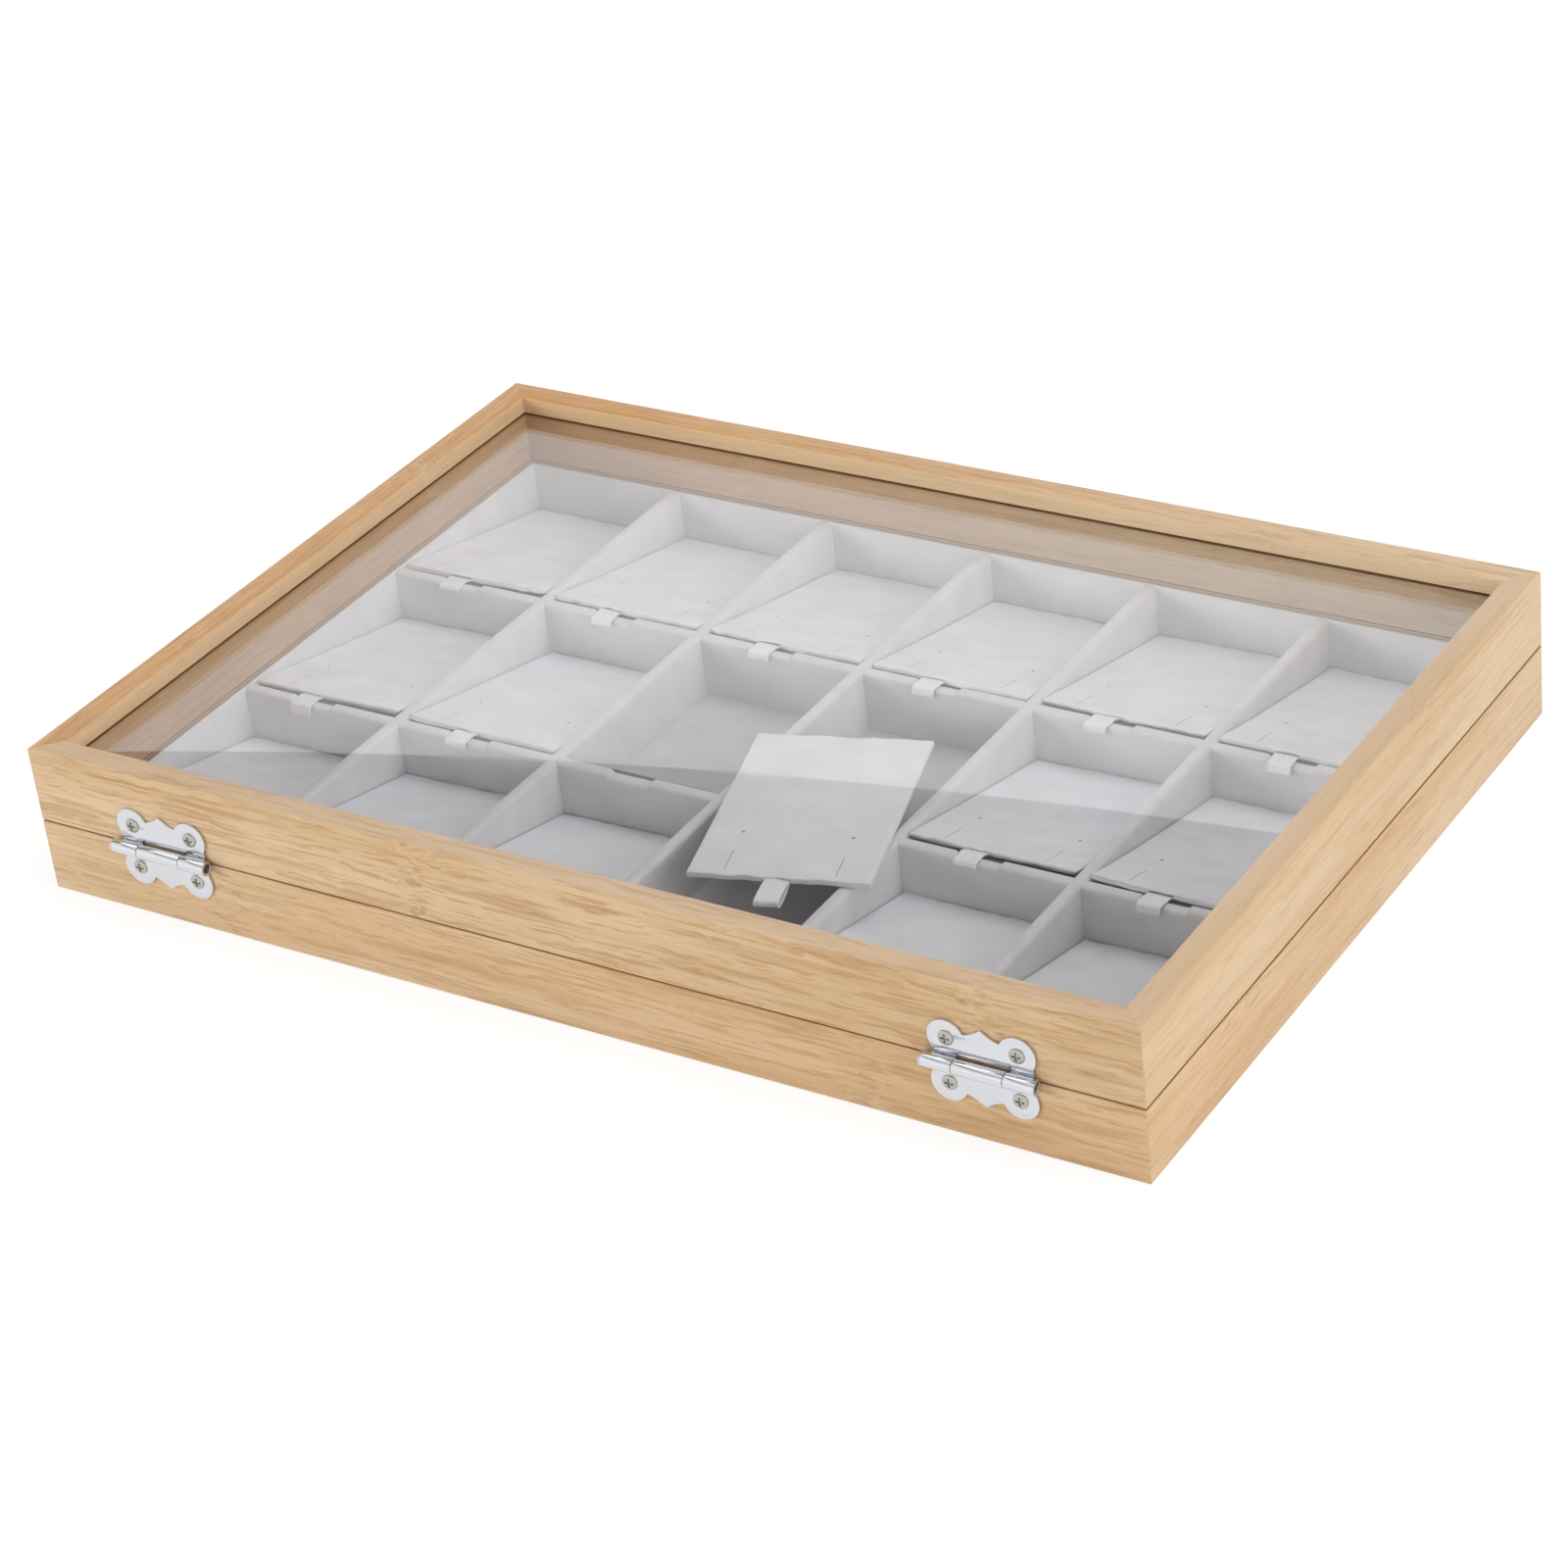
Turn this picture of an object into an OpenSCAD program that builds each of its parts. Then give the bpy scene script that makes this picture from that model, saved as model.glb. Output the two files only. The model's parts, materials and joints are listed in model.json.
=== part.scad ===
// Jewelry display tray: a shallow wooden case with a hinged glass lid and a velvet tray
// of eighteen compartments, fifteen of them holding a sloped card on which jewelry lies.
// Millimetres, Z up. The origin is at the middle of the underside. Both hinges are on the
// -Y side, so the lid opens at the +Y side. Rows are counted from the hinge side and
// columns from the -X end.

/* [Case] */
// Length of the case along its hinge side
case_len = 350; // [320:5:380]
// Depth of the case from its hinge side to its opening side
case_dep = 243; // [225:1:260]
// Height of the base frame
base_h = 22.4; // [21.4:0.1:26]
// Height of the lid frame
lid_h = 23.3; // [20:0.1:28]
// Gap between the base and the closed lid
seam_gap = 0.3; // [0.2:0.1:0.5]
// Thickness of the mitred rails
rail_t = 8; // [7.5:0.5:10]
// Thickness of the bottom panel
panel_t = 2; // [1.5:0.5:3]
// Width of the rebate that holds the bottom panel
rebate_w = 4; // [2:0.5:5]

/* [Glass] */
// Thickness of the glass pane
pane_t = 2; // [1.5:0.5:3]
// Depth of the upper face of the pane below the top of the lid
pane_drop = 5.8; // [4:0.1:8]
// Depth of the groove that holds the pane
groove_d = 3; // [2:0.5:4]
// Gap between the edge of the pane and the bottom of its groove
pane_gap = 0.3; // [0.1:0.1:0.6]
// Open height left above the pane in its groove
pane_air = 0.6; // [0.2:0.1:1]

/* [Tray] */
// Gap between the tray and the inside of the case
tray_gap = 0.3; // [0.1:0.1:0.5]
// Thickness of the velvet floor
tray_floor_t = 0.8; // [0.6:0.1:1.5]
// Thickness of the outer walls
rim_t = 1.5; // [1:0.1:2.5]
// Thickness of the dividers
divider_t = 4; // [3:0.1:5]
// Height of the walls and dividers above the floor
wall_h = 18.9; // [16:0.1:19]
// Play between two dividers where they cross
lap_gap = 0.1; // [0.05:0.05:0.2]
// Depth of the notch for a ribbon in the top of a row divider
notch_d = 2; // [1.5:0.1:3]
// Room in the notch beside the ribbon, towards the -X end
notch_left = 0.5; // [0.3:0.1:2]
// Room in the notch beside the ribbon, towards the +X end
notch_right = 6.5; // [1:0.5:9]
// Depth of the strip that carries the high edge of a card
rest_d = 3; // [2:0.5:5]

/* [Cards] */
// Thickness of a card
card_t = 2; // [1.6:0.1:2.5]
// Gap at each side of a card in its compartment
side_gap = 0.33; // [0.2:0.01:0.6]
// Gap between the high edge of a card and the wall behind it
high_gap = 1.3; // [1:0.1:2]
// Gap between the low edge of a card and the wall in front of it
low_gap = 0.8; // [0.8:0.1:1.5]
// Gap between a card and what it rests on
seat_gap = 0.25; // [0.1:0.05:0.4]
// Diameter of the earring holes
hole_d = 1.2; // [0.8:0.1:2]
// Distance of the earring holes from the high edge
hole_inset = 21; // [16:0.5:26]
// Distance between the earring holes, and between the chain slits
hole_spacing = 31; // [24:0.5:38]
// Width of a chain slit
slit_w = 0.5; // [0.3:0.1:0.8]
// Length of a chain slit
slit_len = 9.5; // [6:0.5:12]
// Distance of a chain slit from the high edge
slit_inset = 2; // [1:0.5:4]
// Place of the middle of the loose card along the case
loose_x = 28.5; // [26.5:0.5:30.5]
// Place of the middle of the loose card across the case
loose_y = -35.5; // [-37.5:0.5:-33.5]
// Turn of the loose card
loose_turn = 16; // [13:0.5:19]

/* [Ribbons] */
// Width of a ribbon
ribbon_w = 7; // [5:0.5:8]
// Thickness of a doubled ribbon
ribbon_t = 0.8; // [0.5:0.1:0.9]
// Length of ribbon glued into the high edge of its card
ribbon_root = 9; // [6:0.5:12]
// Length of ribbon that lies free
ribbon_tab = 9.5; // [8:0.5:12]
// Distance of a ribbon from the middle of its card
ribbon_shift = -5; // [-6:0.5:-1]
// Gap round the root of a ribbon
root_gap = 0.05; // [0.02:0.01:0.1]
// Gap between a ribbon and the divider that it hangs over
hang_gap = 0.35; // [0.3:0.05:0.5]

/* [Hinges] */
// Distance of the middle of a hinge from the end of the case
hinge_inset = 45; // [35:1:60]
// Thickness of a hinge leaf
leaf_t = 0.8; // [0.6:0.1:1]
// Distance of the hinge axis from the face of the rails
axis_out = 2.4; // [2.3:0.1:3]
// Outer diameter of the knuckles
knuckle_d = 4.2; // [3.8:0.1:4.4]
// Length of the three knuckles together
barrel_len = 32.4; // [30:0.2:36]
// Length of the middle knuckle
middle_len = 14.6; // [12:0.2:18]
// Gap between two knuckles
knuckle_gap = 0.2; // [0.1:0.05:0.4]
// Diameter of the hinge pin
pin_d = 2.6; // [2:0.1:2.8]
// Radial gap between the pin and its knuckles
pin_gap = 0.05; // [0.03:0.01:0.08]
// Depth of the end of the pin inside the last knuckle
pin_recess = 1; // [0.5:0.1:2]
// Height of the domed head of the pin
pin_head_h = 1.1; // [0.8:0.1:1.5]
// Radius of the round lobes of a leaf
lobe_r = 5.3; // [4.6:0.1:5.8]
// Distance between the two screws of a leaf
screw_spacing = 20.2; // [18:0.2:23]
// Distance of the screws from the hinge axis
screw_out = 6.8; // [6:0.1:8]
// Distance of the pointed middle of a leaf from the hinge axis
peak_out = 11.6; // [10.4:0.1:13]
// Distance of the hollows beside that point from the hinge axis
valley_out = 9; // [8:0.1:10]
// Half the width of the leaf beside the knuckles
neck_x = 14.6; // [12.5:0.1:15]
// How hollow the curve up to the pointed middle is, where 1 is straight
point_power = 1.6; // [1.2:0.1:2]

/* [Screws] */
// Diameter of a screw's shank
screw_d = 2; // [1.6:0.1:2.2]
// Length of a screw under its head
screw_len = 6; // [4:0.5:6.5]
// Diameter of a screw's head
head_d = 4.4; // [4:0.1:4.8]
// Height of the domed top of a screw's head
head_dome = 0.5; // [0.3:0.1:0.8]
// Gap round a screw in its leaf and its pilot hole
screw_gap = 0.05; // [0.02:0.01:0.1]
// Width of the arms of the cross recess
cross_w = 0.6; // [0.4:0.1:0.8]
// Length of the arms of the cross recess, end to end
cross_len = 2.6; // [2:0.1:3]
// Depth of the cross recess
cross_d = 0.7; // [0.4:0.1:1]

/* [Hidden] */
$fn = 48;

// The tray is divided into this many rows and columns
rows = 3;
cols = 6;
// How far a cutting solid reaches past the face that it cuts
past = 1;

in_len = case_len - 2 * rail_t;
in_dep = case_dep - 2 * rail_t;
lid_z = base_h + seam_gap;
case_h = lid_z + lid_h;
back_y = -case_dep / 2;
tray_len = in_len - 2 * tray_gap;
tray_dep = in_dep - 2 * tray_gap;
floor_z = panel_t + tray_floor_t;
wall_top = floor_z + wall_h;
cell_w = (tray_len - 2 * rim_t - (cols - 1) * divider_t) / cols;
cell_d = (tray_dep - 2 * rim_t - (rows - 1) * divider_t) / rows;
step_x = cell_w + divider_t;
step_y = cell_d + divider_t;

// A card's slope follows from its run across a compartment and the rise to its high edge
card_w = cell_w - 2 * side_gap;
card_run = cell_d - high_gap - low_gap;
card_rise = wall_h - seat_gap - card_t;
card_len = norm([card_run, card_rise]);
slope = atan2(card_rise, card_run);

pane_z = case_h - pane_drop - pane_t;
axis_y = back_y - axis_out;
axis_z = base_h + seam_gap / 2;
hinge_x = case_len / 2 - hinge_inset;
valley_x = screw_spacing / 2 - sqrt(pow(lobe_r, 2) - pow(valley_out - screw_out, 2));
knuckle_clear = knuckle_d / 2 + knuckle_gap;

// The middle of a column of compartments, and the wall at the hinge side of a row
function cell_x(c) = (c - (cols + 1) / 2) * step_x;
function cell_y0(r) = (r - (rows + 1) / 2) * step_y - cell_d / 2;

// A strip of even thickness along a path of points in a plane
function unit(v) = v / norm(v);
function heading(p, i) = unit(p[min(i + 1, len(p) - 1)] - p[max(i - 1, 0)]);
function side(p, i, d) = p[i] + d * [-heading(p, i).y, heading(p, i).x];
function strip(p, t) = concat([for (i = [0:len(p) - 1]) side(p, i, t / 2)],
                              [for (i = [len(p) - 1:-1:0]) side(p, i, -t / 2)]);
function arc(centre, r, a0, a1, n) =
    [for (i = [0:n]) centre + r * [cos(a0 + (a1 - a0) * i / n), sin(a0 + (a1 - a0) * i / n)]];

// The part of a rail's length between the two 45 degree mitres
module mitre(len, dep, h) {
    reach = rail_t + past;
    translate([0, 0, -past])
        linear_extrude(h + 2 * past)
            polygon([[-len / 2 - past, -dep / 2 - past], [len / 2 + past, -dep / 2 - past],
                     [len / 2 - reach, -dep / 2 + reach], [-len / 2 + reach, -dep / 2 + reach]]);
}

// A rail along X whose section, drawn outer face first, lies against y = -dep / 2
module rail(len, dep, h, section) {
    intersection() {
        translate([-len / 2 - past, -dep / 2, 0])
            rotate([90, 0, 90])
                linear_extrude(len + 2 * past)
                    polygon(section);
        mitre(len, dep, h);
    }
}

base_section = [[0, 0], [rail_t - rebate_w, 0], [rail_t - rebate_w, panel_t],
                [rail_t, panel_t], [rail_t, base_h], [0, base_h]];
groove_z = pane_z - lid_z;
lid_section = [[0, 0], [rail_t, 0], [rail_t, groove_z], [rail_t - groove_d, groove_z],
               [rail_t - groove_d, groove_z + pane_t + pane_air],
               [rail_t, groove_z + pane_t + pane_air], [rail_t, lid_h], [0, lid_h]];

// Pilot holes at one height in a rail of the hinge side
module pilots(z) {
    for (sx = [-1, 1])
        for (dx = [-1, 1])
            translate([sx * hinge_x + dx * screw_spacing / 2, back_y - past, z])
                rotate([-90, 0, 0])
                    cylinder(d = screw_d + 2 * screw_gap, h = past + screw_len + screw_gap - leaf_t);
}

module base_back_rail() {
    color("#CFA677") difference() {
        rail(case_len, case_dep, base_h, base_section);
        pilots(axis_z - screw_out);
    }
}
module base_front_rail() {
    color("#CFA677") rotate([0, 0, 180]) rail(case_len, case_dep, base_h, base_section);
}
module base_left_rail() {
    color("#D9B68A") rotate([0, 0, -90]) rail(case_dep, case_len, base_h, base_section);
}
module base_right_rail() {
    color("#D9B68A") rotate([0, 0, 90]) rail(case_dep, case_len, base_h, base_section);
}
module base_panel() {
    panel_len = in_len + 2 * rebate_w;
    panel_dep = in_dep + 2 * rebate_w;
    color("#B08D62") translate([-panel_len / 2, -panel_dep / 2, 0])
        cube([panel_len, panel_dep, panel_t]);
}

module lid_rail(len, dep) {
    translate([0, 0, lid_z]) rail(len, dep, lid_h, lid_section);
}
module lid_back_rail() {
    color("#CFA677") difference() {
        lid_rail(case_len, case_dep);
        pilots(axis_z + screw_out);
    }
}
module lid_front_rail() {
    color("#CFA677") rotate([0, 0, 180]) lid_rail(case_len, case_dep);
}
module lid_left_rail() {
    color("#D9B68A") rotate([0, 0, -90]) lid_rail(case_dep, case_len);
}
module lid_right_rail() {
    color("#D9B68A") rotate([0, 0, 90]) lid_rail(case_dep, case_len);
}
module glass_pane() {
    pane_len = in_len + 2 * (groove_d - pane_gap);
    pane_dep = in_dep + 2 * (groove_d - pane_gap);
    color("#DCEBF0", 0.35) translate([-pane_len / 2, -pane_dep / 2, pane_z])
        cube([pane_len, pane_dep, pane_t]);
}

// The outline of a leaf above the axis: two round lobes and a pointed middle
module leaf_outline() {
    steps = 8;
    rise = peak_out - valley_out;
    curve = [for (i = [-steps:steps])
        [valley_x * i / steps, valley_out + rise * pow(1 - abs(i) / steps, point_power)]];
    for (sx = [-1, 1])
        translate([sx * screw_spacing / 2, screw_out]) circle(lobe_r);
    polygon(concat([[-neck_x, 0], [-neck_x, screw_out], [-screw_spacing / 2, screw_out]],
                   curve,
                   [[screw_spacing / 2, screw_out], [neck_x, screw_out], [neck_x, 0]]));
}

// A knuckle from x0 to x1, bored for the pin, is cut from this solid
module knuckle(x0, x1) {
    translate([x0, -axis_out, 0]) rotate([0, 90, 0]) cylinder(d = knuckle_d, h = x1 - x0);
}
module knuckle_bore() {
    translate([-barrel_len, -axis_out, 0]) rotate([0, 90, 0])
        cylinder(d = pin_d + 2 * pin_gap, h = 2 * barrel_len);
}

// The countersunk holes of a leaf
module leaf_holes() {
    for (sx = [-1, 1])
        translate([sx * screw_spacing / 2, 0, screw_out]) rotate([90, 0, 0]) {
            translate([0, 0, -past]) cylinder(d = screw_d + 2 * screw_gap, h = 2 * past);
            cylinder(d1 = screw_d + 2 * screw_gap, d2 = head_d + 2 * screw_gap, h = leaf_t);
            translate([0, 0, leaf_t]) cylinder(d = head_d + 2 * screw_gap, h = past);
        }
}

// A leaf with its axis along X at y = -axis_out. The lid leaf carries the outer knuckles
// and the base leaf the middle one. Each is cut back where the other's knuckles turn.
module leaf(outer) {
    half = middle_len / 2;
    difference() {
        union() {
            difference() {
                rotate([90, 0, 0]) linear_extrude(leaf_t) leaf_outline();
                if (outer)
                    translate([-half - knuckle_gap, -leaf_t - past, -past])
                        cube([middle_len + 2 * knuckle_gap, leaf_t + 2 * past, past + knuckle_clear]);
                else
                    for (sx = [-1, 1])
                        translate([sx * (half + barrel_len / 2) - barrel_len / 2, -leaf_t - past, -past])
                            cube([barrel_len, leaf_t + 2 * past, past + knuckle_clear]);
            }
            if (outer)
                for (sx = [-1, 1])
                    knuckle(sx > 0 ? half + knuckle_gap / 2 : -barrel_len / 2,
                            sx > 0 ? barrel_len / 2 : -half - knuckle_gap / 2);
            else
                knuckle(-half + knuckle_gap / 2, half - knuckle_gap / 2);
        }
        knuckle_bore();
        leaf_holes();
    }
}
module base_leaf(x) {
    color("#D8DADD") translate([x, back_y, axis_z]) mirror([0, 0, 1]) leaf(false);
}
module lid_leaf(x) {
    color("#D8DADD") translate([x, back_y, axis_z]) leaf(true);
}
module hinge_pin(x) {
    head_r = knuckle_d / 2;
    steps = 6;
    dome = [for (i = [0:steps]) [head_r * cos(90 * i / steps), -pin_head_h * sin(90 * i / steps)]];
    shaft_end = barrel_len - pin_recess;
    color("#C9CBCF") translate([x - barrel_len / 2 - knuckle_gap / 2, axis_y, axis_z])
        rotate([0, 90, 0])
            rotate_extrude()
                polygon(concat([[0, shaft_end + knuckle_gap / 2], [pin_d / 2, shaft_end + knuckle_gap / 2],
                                [pin_d / 2, 0]], dome));
}

// One screw along -Y from the origin, its head seated at leaf_t outside y = 0
module screw() {
    steps = 5;
    tip = screw_len - screw_d;
    head_r = head_d / 2;
    dome = [for (i = [1:steps]) [head_r * cos(90 * i / steps), leaf_t + head_dome * sin(90 * i / steps)]];
    rotate([90, 0, 0]) difference() {
        rotate_extrude()
            polygon(concat([[0, leaf_t - screw_len], [screw_d / 2, leaf_t - tip], [screw_d / 2, 0],
                            [head_r, leaf_t]], dome));
        for (a = [0, 90])
            rotate([0, 0, a])
                translate([-cross_len / 2, -cross_w / 2, leaf_t + head_dome - cross_d])
                    cube([cross_len, cross_w, cross_d + past]);
    }
}
module screws(z) {
    color("#BFC1C5") for (sx = [-1, 1])
        for (dx = [-1, 1])
            translate([sx * hinge_x + dx * screw_spacing / 2, back_y, z]) screw();
}
module base_hinge_screws() {
    screws(axis_z - screw_out);
}
module lid_hinge_screws() {
    screws(axis_z + screw_out);
}

module tray_floor() {
    color("#C9C9CC") translate([-tray_len / 2, -tray_dep / 2, panel_t])
        cube([tray_len, tray_dep, tray_floor_t]);
}
module tray_rim() {
    color("#D6D6D9") translate([0, 0, floor_z]) linear_extrude(wall_h) difference() {
        square([tray_len, tray_dep], center = true);
        square([tray_len - 2 * rim_t, tray_dep - 2 * rim_t], center = true);
    }
}

// A strip at the hinge side of every compartment, its top in line with a card's underside
module card_rests() {
    rest_w = cell_w - side_gap;
    near = wall_h - card_t - seat_gap + high_gap * tan(slope);
    section = [[0, 0], [rest_d, 0], [rest_d, near - rest_d * tan(slope)], [0, near]];
    color("#BDBDC1") for (r = [1:rows])
        for (c = [1:cols])
            translate([cell_x(c) - rest_w / 2, cell_y0(r), floor_z])
                rotate([90, 0, 90]) linear_extrude(rest_w) polygon(section);
}

// A column divider runs from rim to rim, slotted from above for the row dividers
module column_divider(i) {
    span = tray_dep - 2 * rim_t;
    lap = divider_t + 2 * lap_gap;
    color("#D6D6D9") translate([(i - cols / 2) * step_x - divider_t / 2, -span / 2, floor_z])
        difference() {
            cube([divider_t, span, wall_h]);
            for (r = [1:rows - 1])
                translate([-past, span / 2 + (r - rows / 2) * step_y - lap / 2, wall_h / 2])
                    cube([divider_t + 2 * past, lap, wall_h]);
        }
}

// A row divider is slotted from below and notched in front of every compartment
module row_divider(i) {
    span = tray_len - 2 * rim_t;
    lap = divider_t + 2 * lap_gap;
    notch_x = ribbon_shift - ribbon_w / 2 - notch_left;
    notch_w = notch_left + ribbon_w + notch_right;
    color("#D6D6D9") translate([-span / 2, (i - rows / 2) * step_y - divider_t / 2, floor_z])
        difference() {
            cube([span, divider_t, wall_h]);
            for (c = [1:cols - 1])
                translate([span / 2 + (c - cols / 2) * step_x - lap / 2, -past, -past])
                    cube([lap, divider_t + 2 * past, wall_h / 2 + past]);
            for (c = [1:cols])
                translate([span / 2 + cell_x(c) + notch_x, -past, wall_h - notch_d])
                    cube([notch_w, divider_t + 2 * past, notch_d + past]);
        }
}

// A card with the bottom corner of its high edge at the origin, running away along +Y
module card(shift) {
    root_w = ribbon_w + 2 * root_gap;
    root_t = ribbon_t + 2 * root_gap;
    color("#DADADC") difference() {
        translate([-card_w / 2, 0, 0]) cube([card_w, card_len, card_t]);
        for (sx = [-1, 1]) {
            translate([sx * hole_spacing / 2, hole_inset, -past])
                cylinder(d = hole_d, h = card_t + 2 * past);
            translate([sx * hole_spacing / 2 - slit_w / 2, slit_inset, -past])
                cube([slit_w, slit_len, card_t + 2 * past]);
        }
        translate([shift - root_w / 2, -past, (card_t - root_t) / 2])
            cube([root_w, ribbon_root + root_gap + past, root_t]);
    }
}

// A ribbon whose middle line is a path of [y, z] points from the high edge of a card
module ribbon(shift, path) {
    color("#F0F0F2") translate([shift - ribbon_w / 2, 0, 0])
        rotate([90, 0, 90]) linear_extrude(ribbon_w) polygon(strip(path, ribbon_t));
}

// The frame of a seated card: the bottom corner of its high edge, before the slope
module seat(r, c) {
    translate([cell_x(c), cell_y0(r) + high_gap, floor_z + seat_gap + card_rise]) children();
}
module seated_card(r, c) {
    seat(r, c) rotate([-slope, 0, 0]) card(ribbon_shift);
}

// Where a ribbon leaves the high edge of a seated card, and the glued length behind it
mouth = card_t / 2 * [sin(slope), cos(slope)];
root = mouth + ribbon_root * [cos(slope), -sin(slope)];

// Rows 2 and 3: the ribbon crosses the notch and hangs over the divider's far face
bend_r = 1;
bend_steps = 4;
flat_z = card_t - notch_d + hang_gap + ribbon_t / 2;
over_y = -high_gap - divider_t - hang_gap - ribbon_t / 2;
drop = ribbon_tab - norm([over_y + bend_r, flat_z - mouth.y]) - bend_r * PI / 2;
notch_path = concat([root, mouth, [-high_gap, flat_z]],
                    arc([over_y + bend_r, flat_z - bend_r], bend_r, 90, 180, bend_steps),
                    [[over_y, flat_z - bend_r - drop]]);

// Row 1: the ribbon turns up in front of the wall and folds back over the card
rise_y = -high_gap + hang_gap + ribbon_t / 2;
fold_r = 1;
fold_steps = 6;
fold_z = card_t + ribbon_t;
fold_top = [rise_y + fold_r, fold_z] + fold_r * [sin(slope), cos(slope)];
back_path = concat([root, mouth, [rise_y, mouth.y + bend_r / 2]],
                   arc([rise_y + fold_r, fold_z], fold_r, 180, 90 - slope, fold_steps),
                   [fold_top + (ribbon_tab - fold_z - fold_r) * [cos(slope), -sin(slope)]]);

module seated_ribbon(r, c) {
    seat(r, c) ribbon(ribbon_shift, r == 1 ? back_path : notch_path);
}

// The card that lies loose on the dividers, turned, with its ribbon drooping from its edge
droop = 14;
droop_r = 20;
droop_y = 2;
droop_centre = [-droop_y, card_t / 2 - droop_r];
droop_rest = ribbon_tab - droop_y - droop_r * droop * PI / 180;
loose_path = concat([[ribbon_root, card_t / 2], [0, card_t / 2]],
                    arc(droop_centre, droop_r, 90, 90 + droop, bend_steps),
                    [droop_centre + droop_r * [-sin(droop), cos(droop)]
                     + droop_rest * [-cos(droop), -sin(droop)]]);
module loose() {
    translate([loose_x, loose_y, wall_top + seat_gap]) rotate([0, 0, loose_turn])
        translate([0, -card_len / 2, 0]) children();
}
module loose_card() {
    loose() card(0);
}
module loose_ribbon() {
    loose() ribbon(0, loose_path);
}

base_back_rail();
base_front_rail();
base_left_rail();
base_right_rail();
base_panel();
lid_back_rail();
lid_front_rail();
lid_left_rail();
lid_right_rail();
glass_pane();
base_leaf(-hinge_x);  // left_hinge_base_leaf
lid_leaf(-hinge_x);  // left_hinge_lid_leaf
hinge_pin(-hinge_x);  // left_hinge_pin
base_leaf(hinge_x);  // right_hinge_base_leaf
lid_leaf(hinge_x);  // right_hinge_lid_leaf
hinge_pin(hinge_x);  // right_hinge_pin
base_hinge_screws();
lid_hinge_screws();
tray_floor();
tray_rim();
card_rests();
column_divider(1);  // column_divider_1
column_divider(2);  // column_divider_2
column_divider(3);  // column_divider_3
column_divider(4);  // column_divider_4
column_divider(5);  // column_divider_5
row_divider(1);  // row_divider_1
row_divider(2);  // row_divider_2
seated_card(1, 1);  // card_r1c1
seated_card(1, 2);  // card_r1c2
seated_card(1, 3);  // card_r1c3
seated_card(1, 5);  // card_r1c5
seated_card(1, 6);  // card_r1c6
seated_card(2, 1);  // card_r2c1
seated_card(2, 2);  // card_r2c2
seated_card(2, 5);  // card_r2c5
seated_card(2, 6);  // card_r2c6
seated_card(3, 1);  // card_r3c1
seated_card(3, 2);  // card_r3c2
seated_card(3, 3);  // card_r3c3
seated_card(3, 4);  // card_r3c4
seated_card(3, 5);  // card_r3c5
seated_card(3, 6);  // card_r3c6
loose_card();
seated_ribbon(1, 1);  // ribbon_r1c1
seated_ribbon(1, 2);  // ribbon_r1c2
seated_ribbon(1, 3);  // ribbon_r1c3
seated_ribbon(1, 5);  // ribbon_r1c5
seated_ribbon(1, 6);  // ribbon_r1c6
seated_ribbon(2, 1);  // ribbon_r2c1
seated_ribbon(2, 2);  // ribbon_r2c2
seated_ribbon(2, 5);  // ribbon_r2c5
seated_ribbon(2, 6);  // ribbon_r2c6
seated_ribbon(3, 1);  // ribbon_r3c1
seated_ribbon(3, 2);  // ribbon_r3c2
seated_ribbon(3, 3);  // ribbon_r3c3
seated_ribbon(3, 4);  // ribbon_r3c4
seated_ribbon(3, 5);  // ribbon_r3c5
seated_ribbon(3, 6);  // ribbon_r3c6
loose_ribbon();
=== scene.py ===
"""Dresses the CAD frame of a jewelry display tray: a wooden case with a hinged glass lid over
a velvet tray of sloped cards. Lengths are in metres, in the frame's own axes."""

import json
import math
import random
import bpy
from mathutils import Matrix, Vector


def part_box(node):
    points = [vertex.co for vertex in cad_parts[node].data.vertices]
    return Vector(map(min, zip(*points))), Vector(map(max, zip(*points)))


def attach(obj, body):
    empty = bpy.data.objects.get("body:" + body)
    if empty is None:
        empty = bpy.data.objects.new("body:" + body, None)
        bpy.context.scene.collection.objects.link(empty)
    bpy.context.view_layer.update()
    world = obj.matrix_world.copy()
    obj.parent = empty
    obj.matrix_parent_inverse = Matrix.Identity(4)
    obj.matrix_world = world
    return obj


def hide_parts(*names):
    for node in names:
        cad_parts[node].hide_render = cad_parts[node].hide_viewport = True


bl_info = {
    "name": "Jewelry display tray",
    "version": (1, 0, 0),
    "blender": (4, 5, 0),
    "location": "View3D > Sidebar > Display Tray",
    "description": "Builds a wooden case with a glass lid over a velvet tray of sloped cards",
    "category": "Add Mesh",
}

import bmesh
import bpy
from bpy.props import FloatProperty, FloatVectorProperty, IntProperty, PointerProperty
from mathutils import Matrix, Vector, noise

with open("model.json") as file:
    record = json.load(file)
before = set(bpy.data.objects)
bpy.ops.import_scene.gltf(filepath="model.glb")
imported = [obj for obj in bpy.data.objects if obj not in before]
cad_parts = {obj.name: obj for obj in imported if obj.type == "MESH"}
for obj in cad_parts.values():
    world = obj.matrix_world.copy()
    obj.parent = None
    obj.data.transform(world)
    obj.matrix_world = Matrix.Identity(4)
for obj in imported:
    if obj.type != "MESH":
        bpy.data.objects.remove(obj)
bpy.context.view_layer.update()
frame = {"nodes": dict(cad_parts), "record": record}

NODES = frame["nodes"]
BODY_OF = {n: body for body, nodes in frame["record"]["behaviour"]["bodies"].items() for n in nodes}
MM = 0.001
# Points closer than this are one point
WELD = 1e-6
# How far each side of the case is turned from the hinge side, in degrees
SIDES = {"back": 0, "front": 180, "left": -90, "right": 90}
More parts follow.
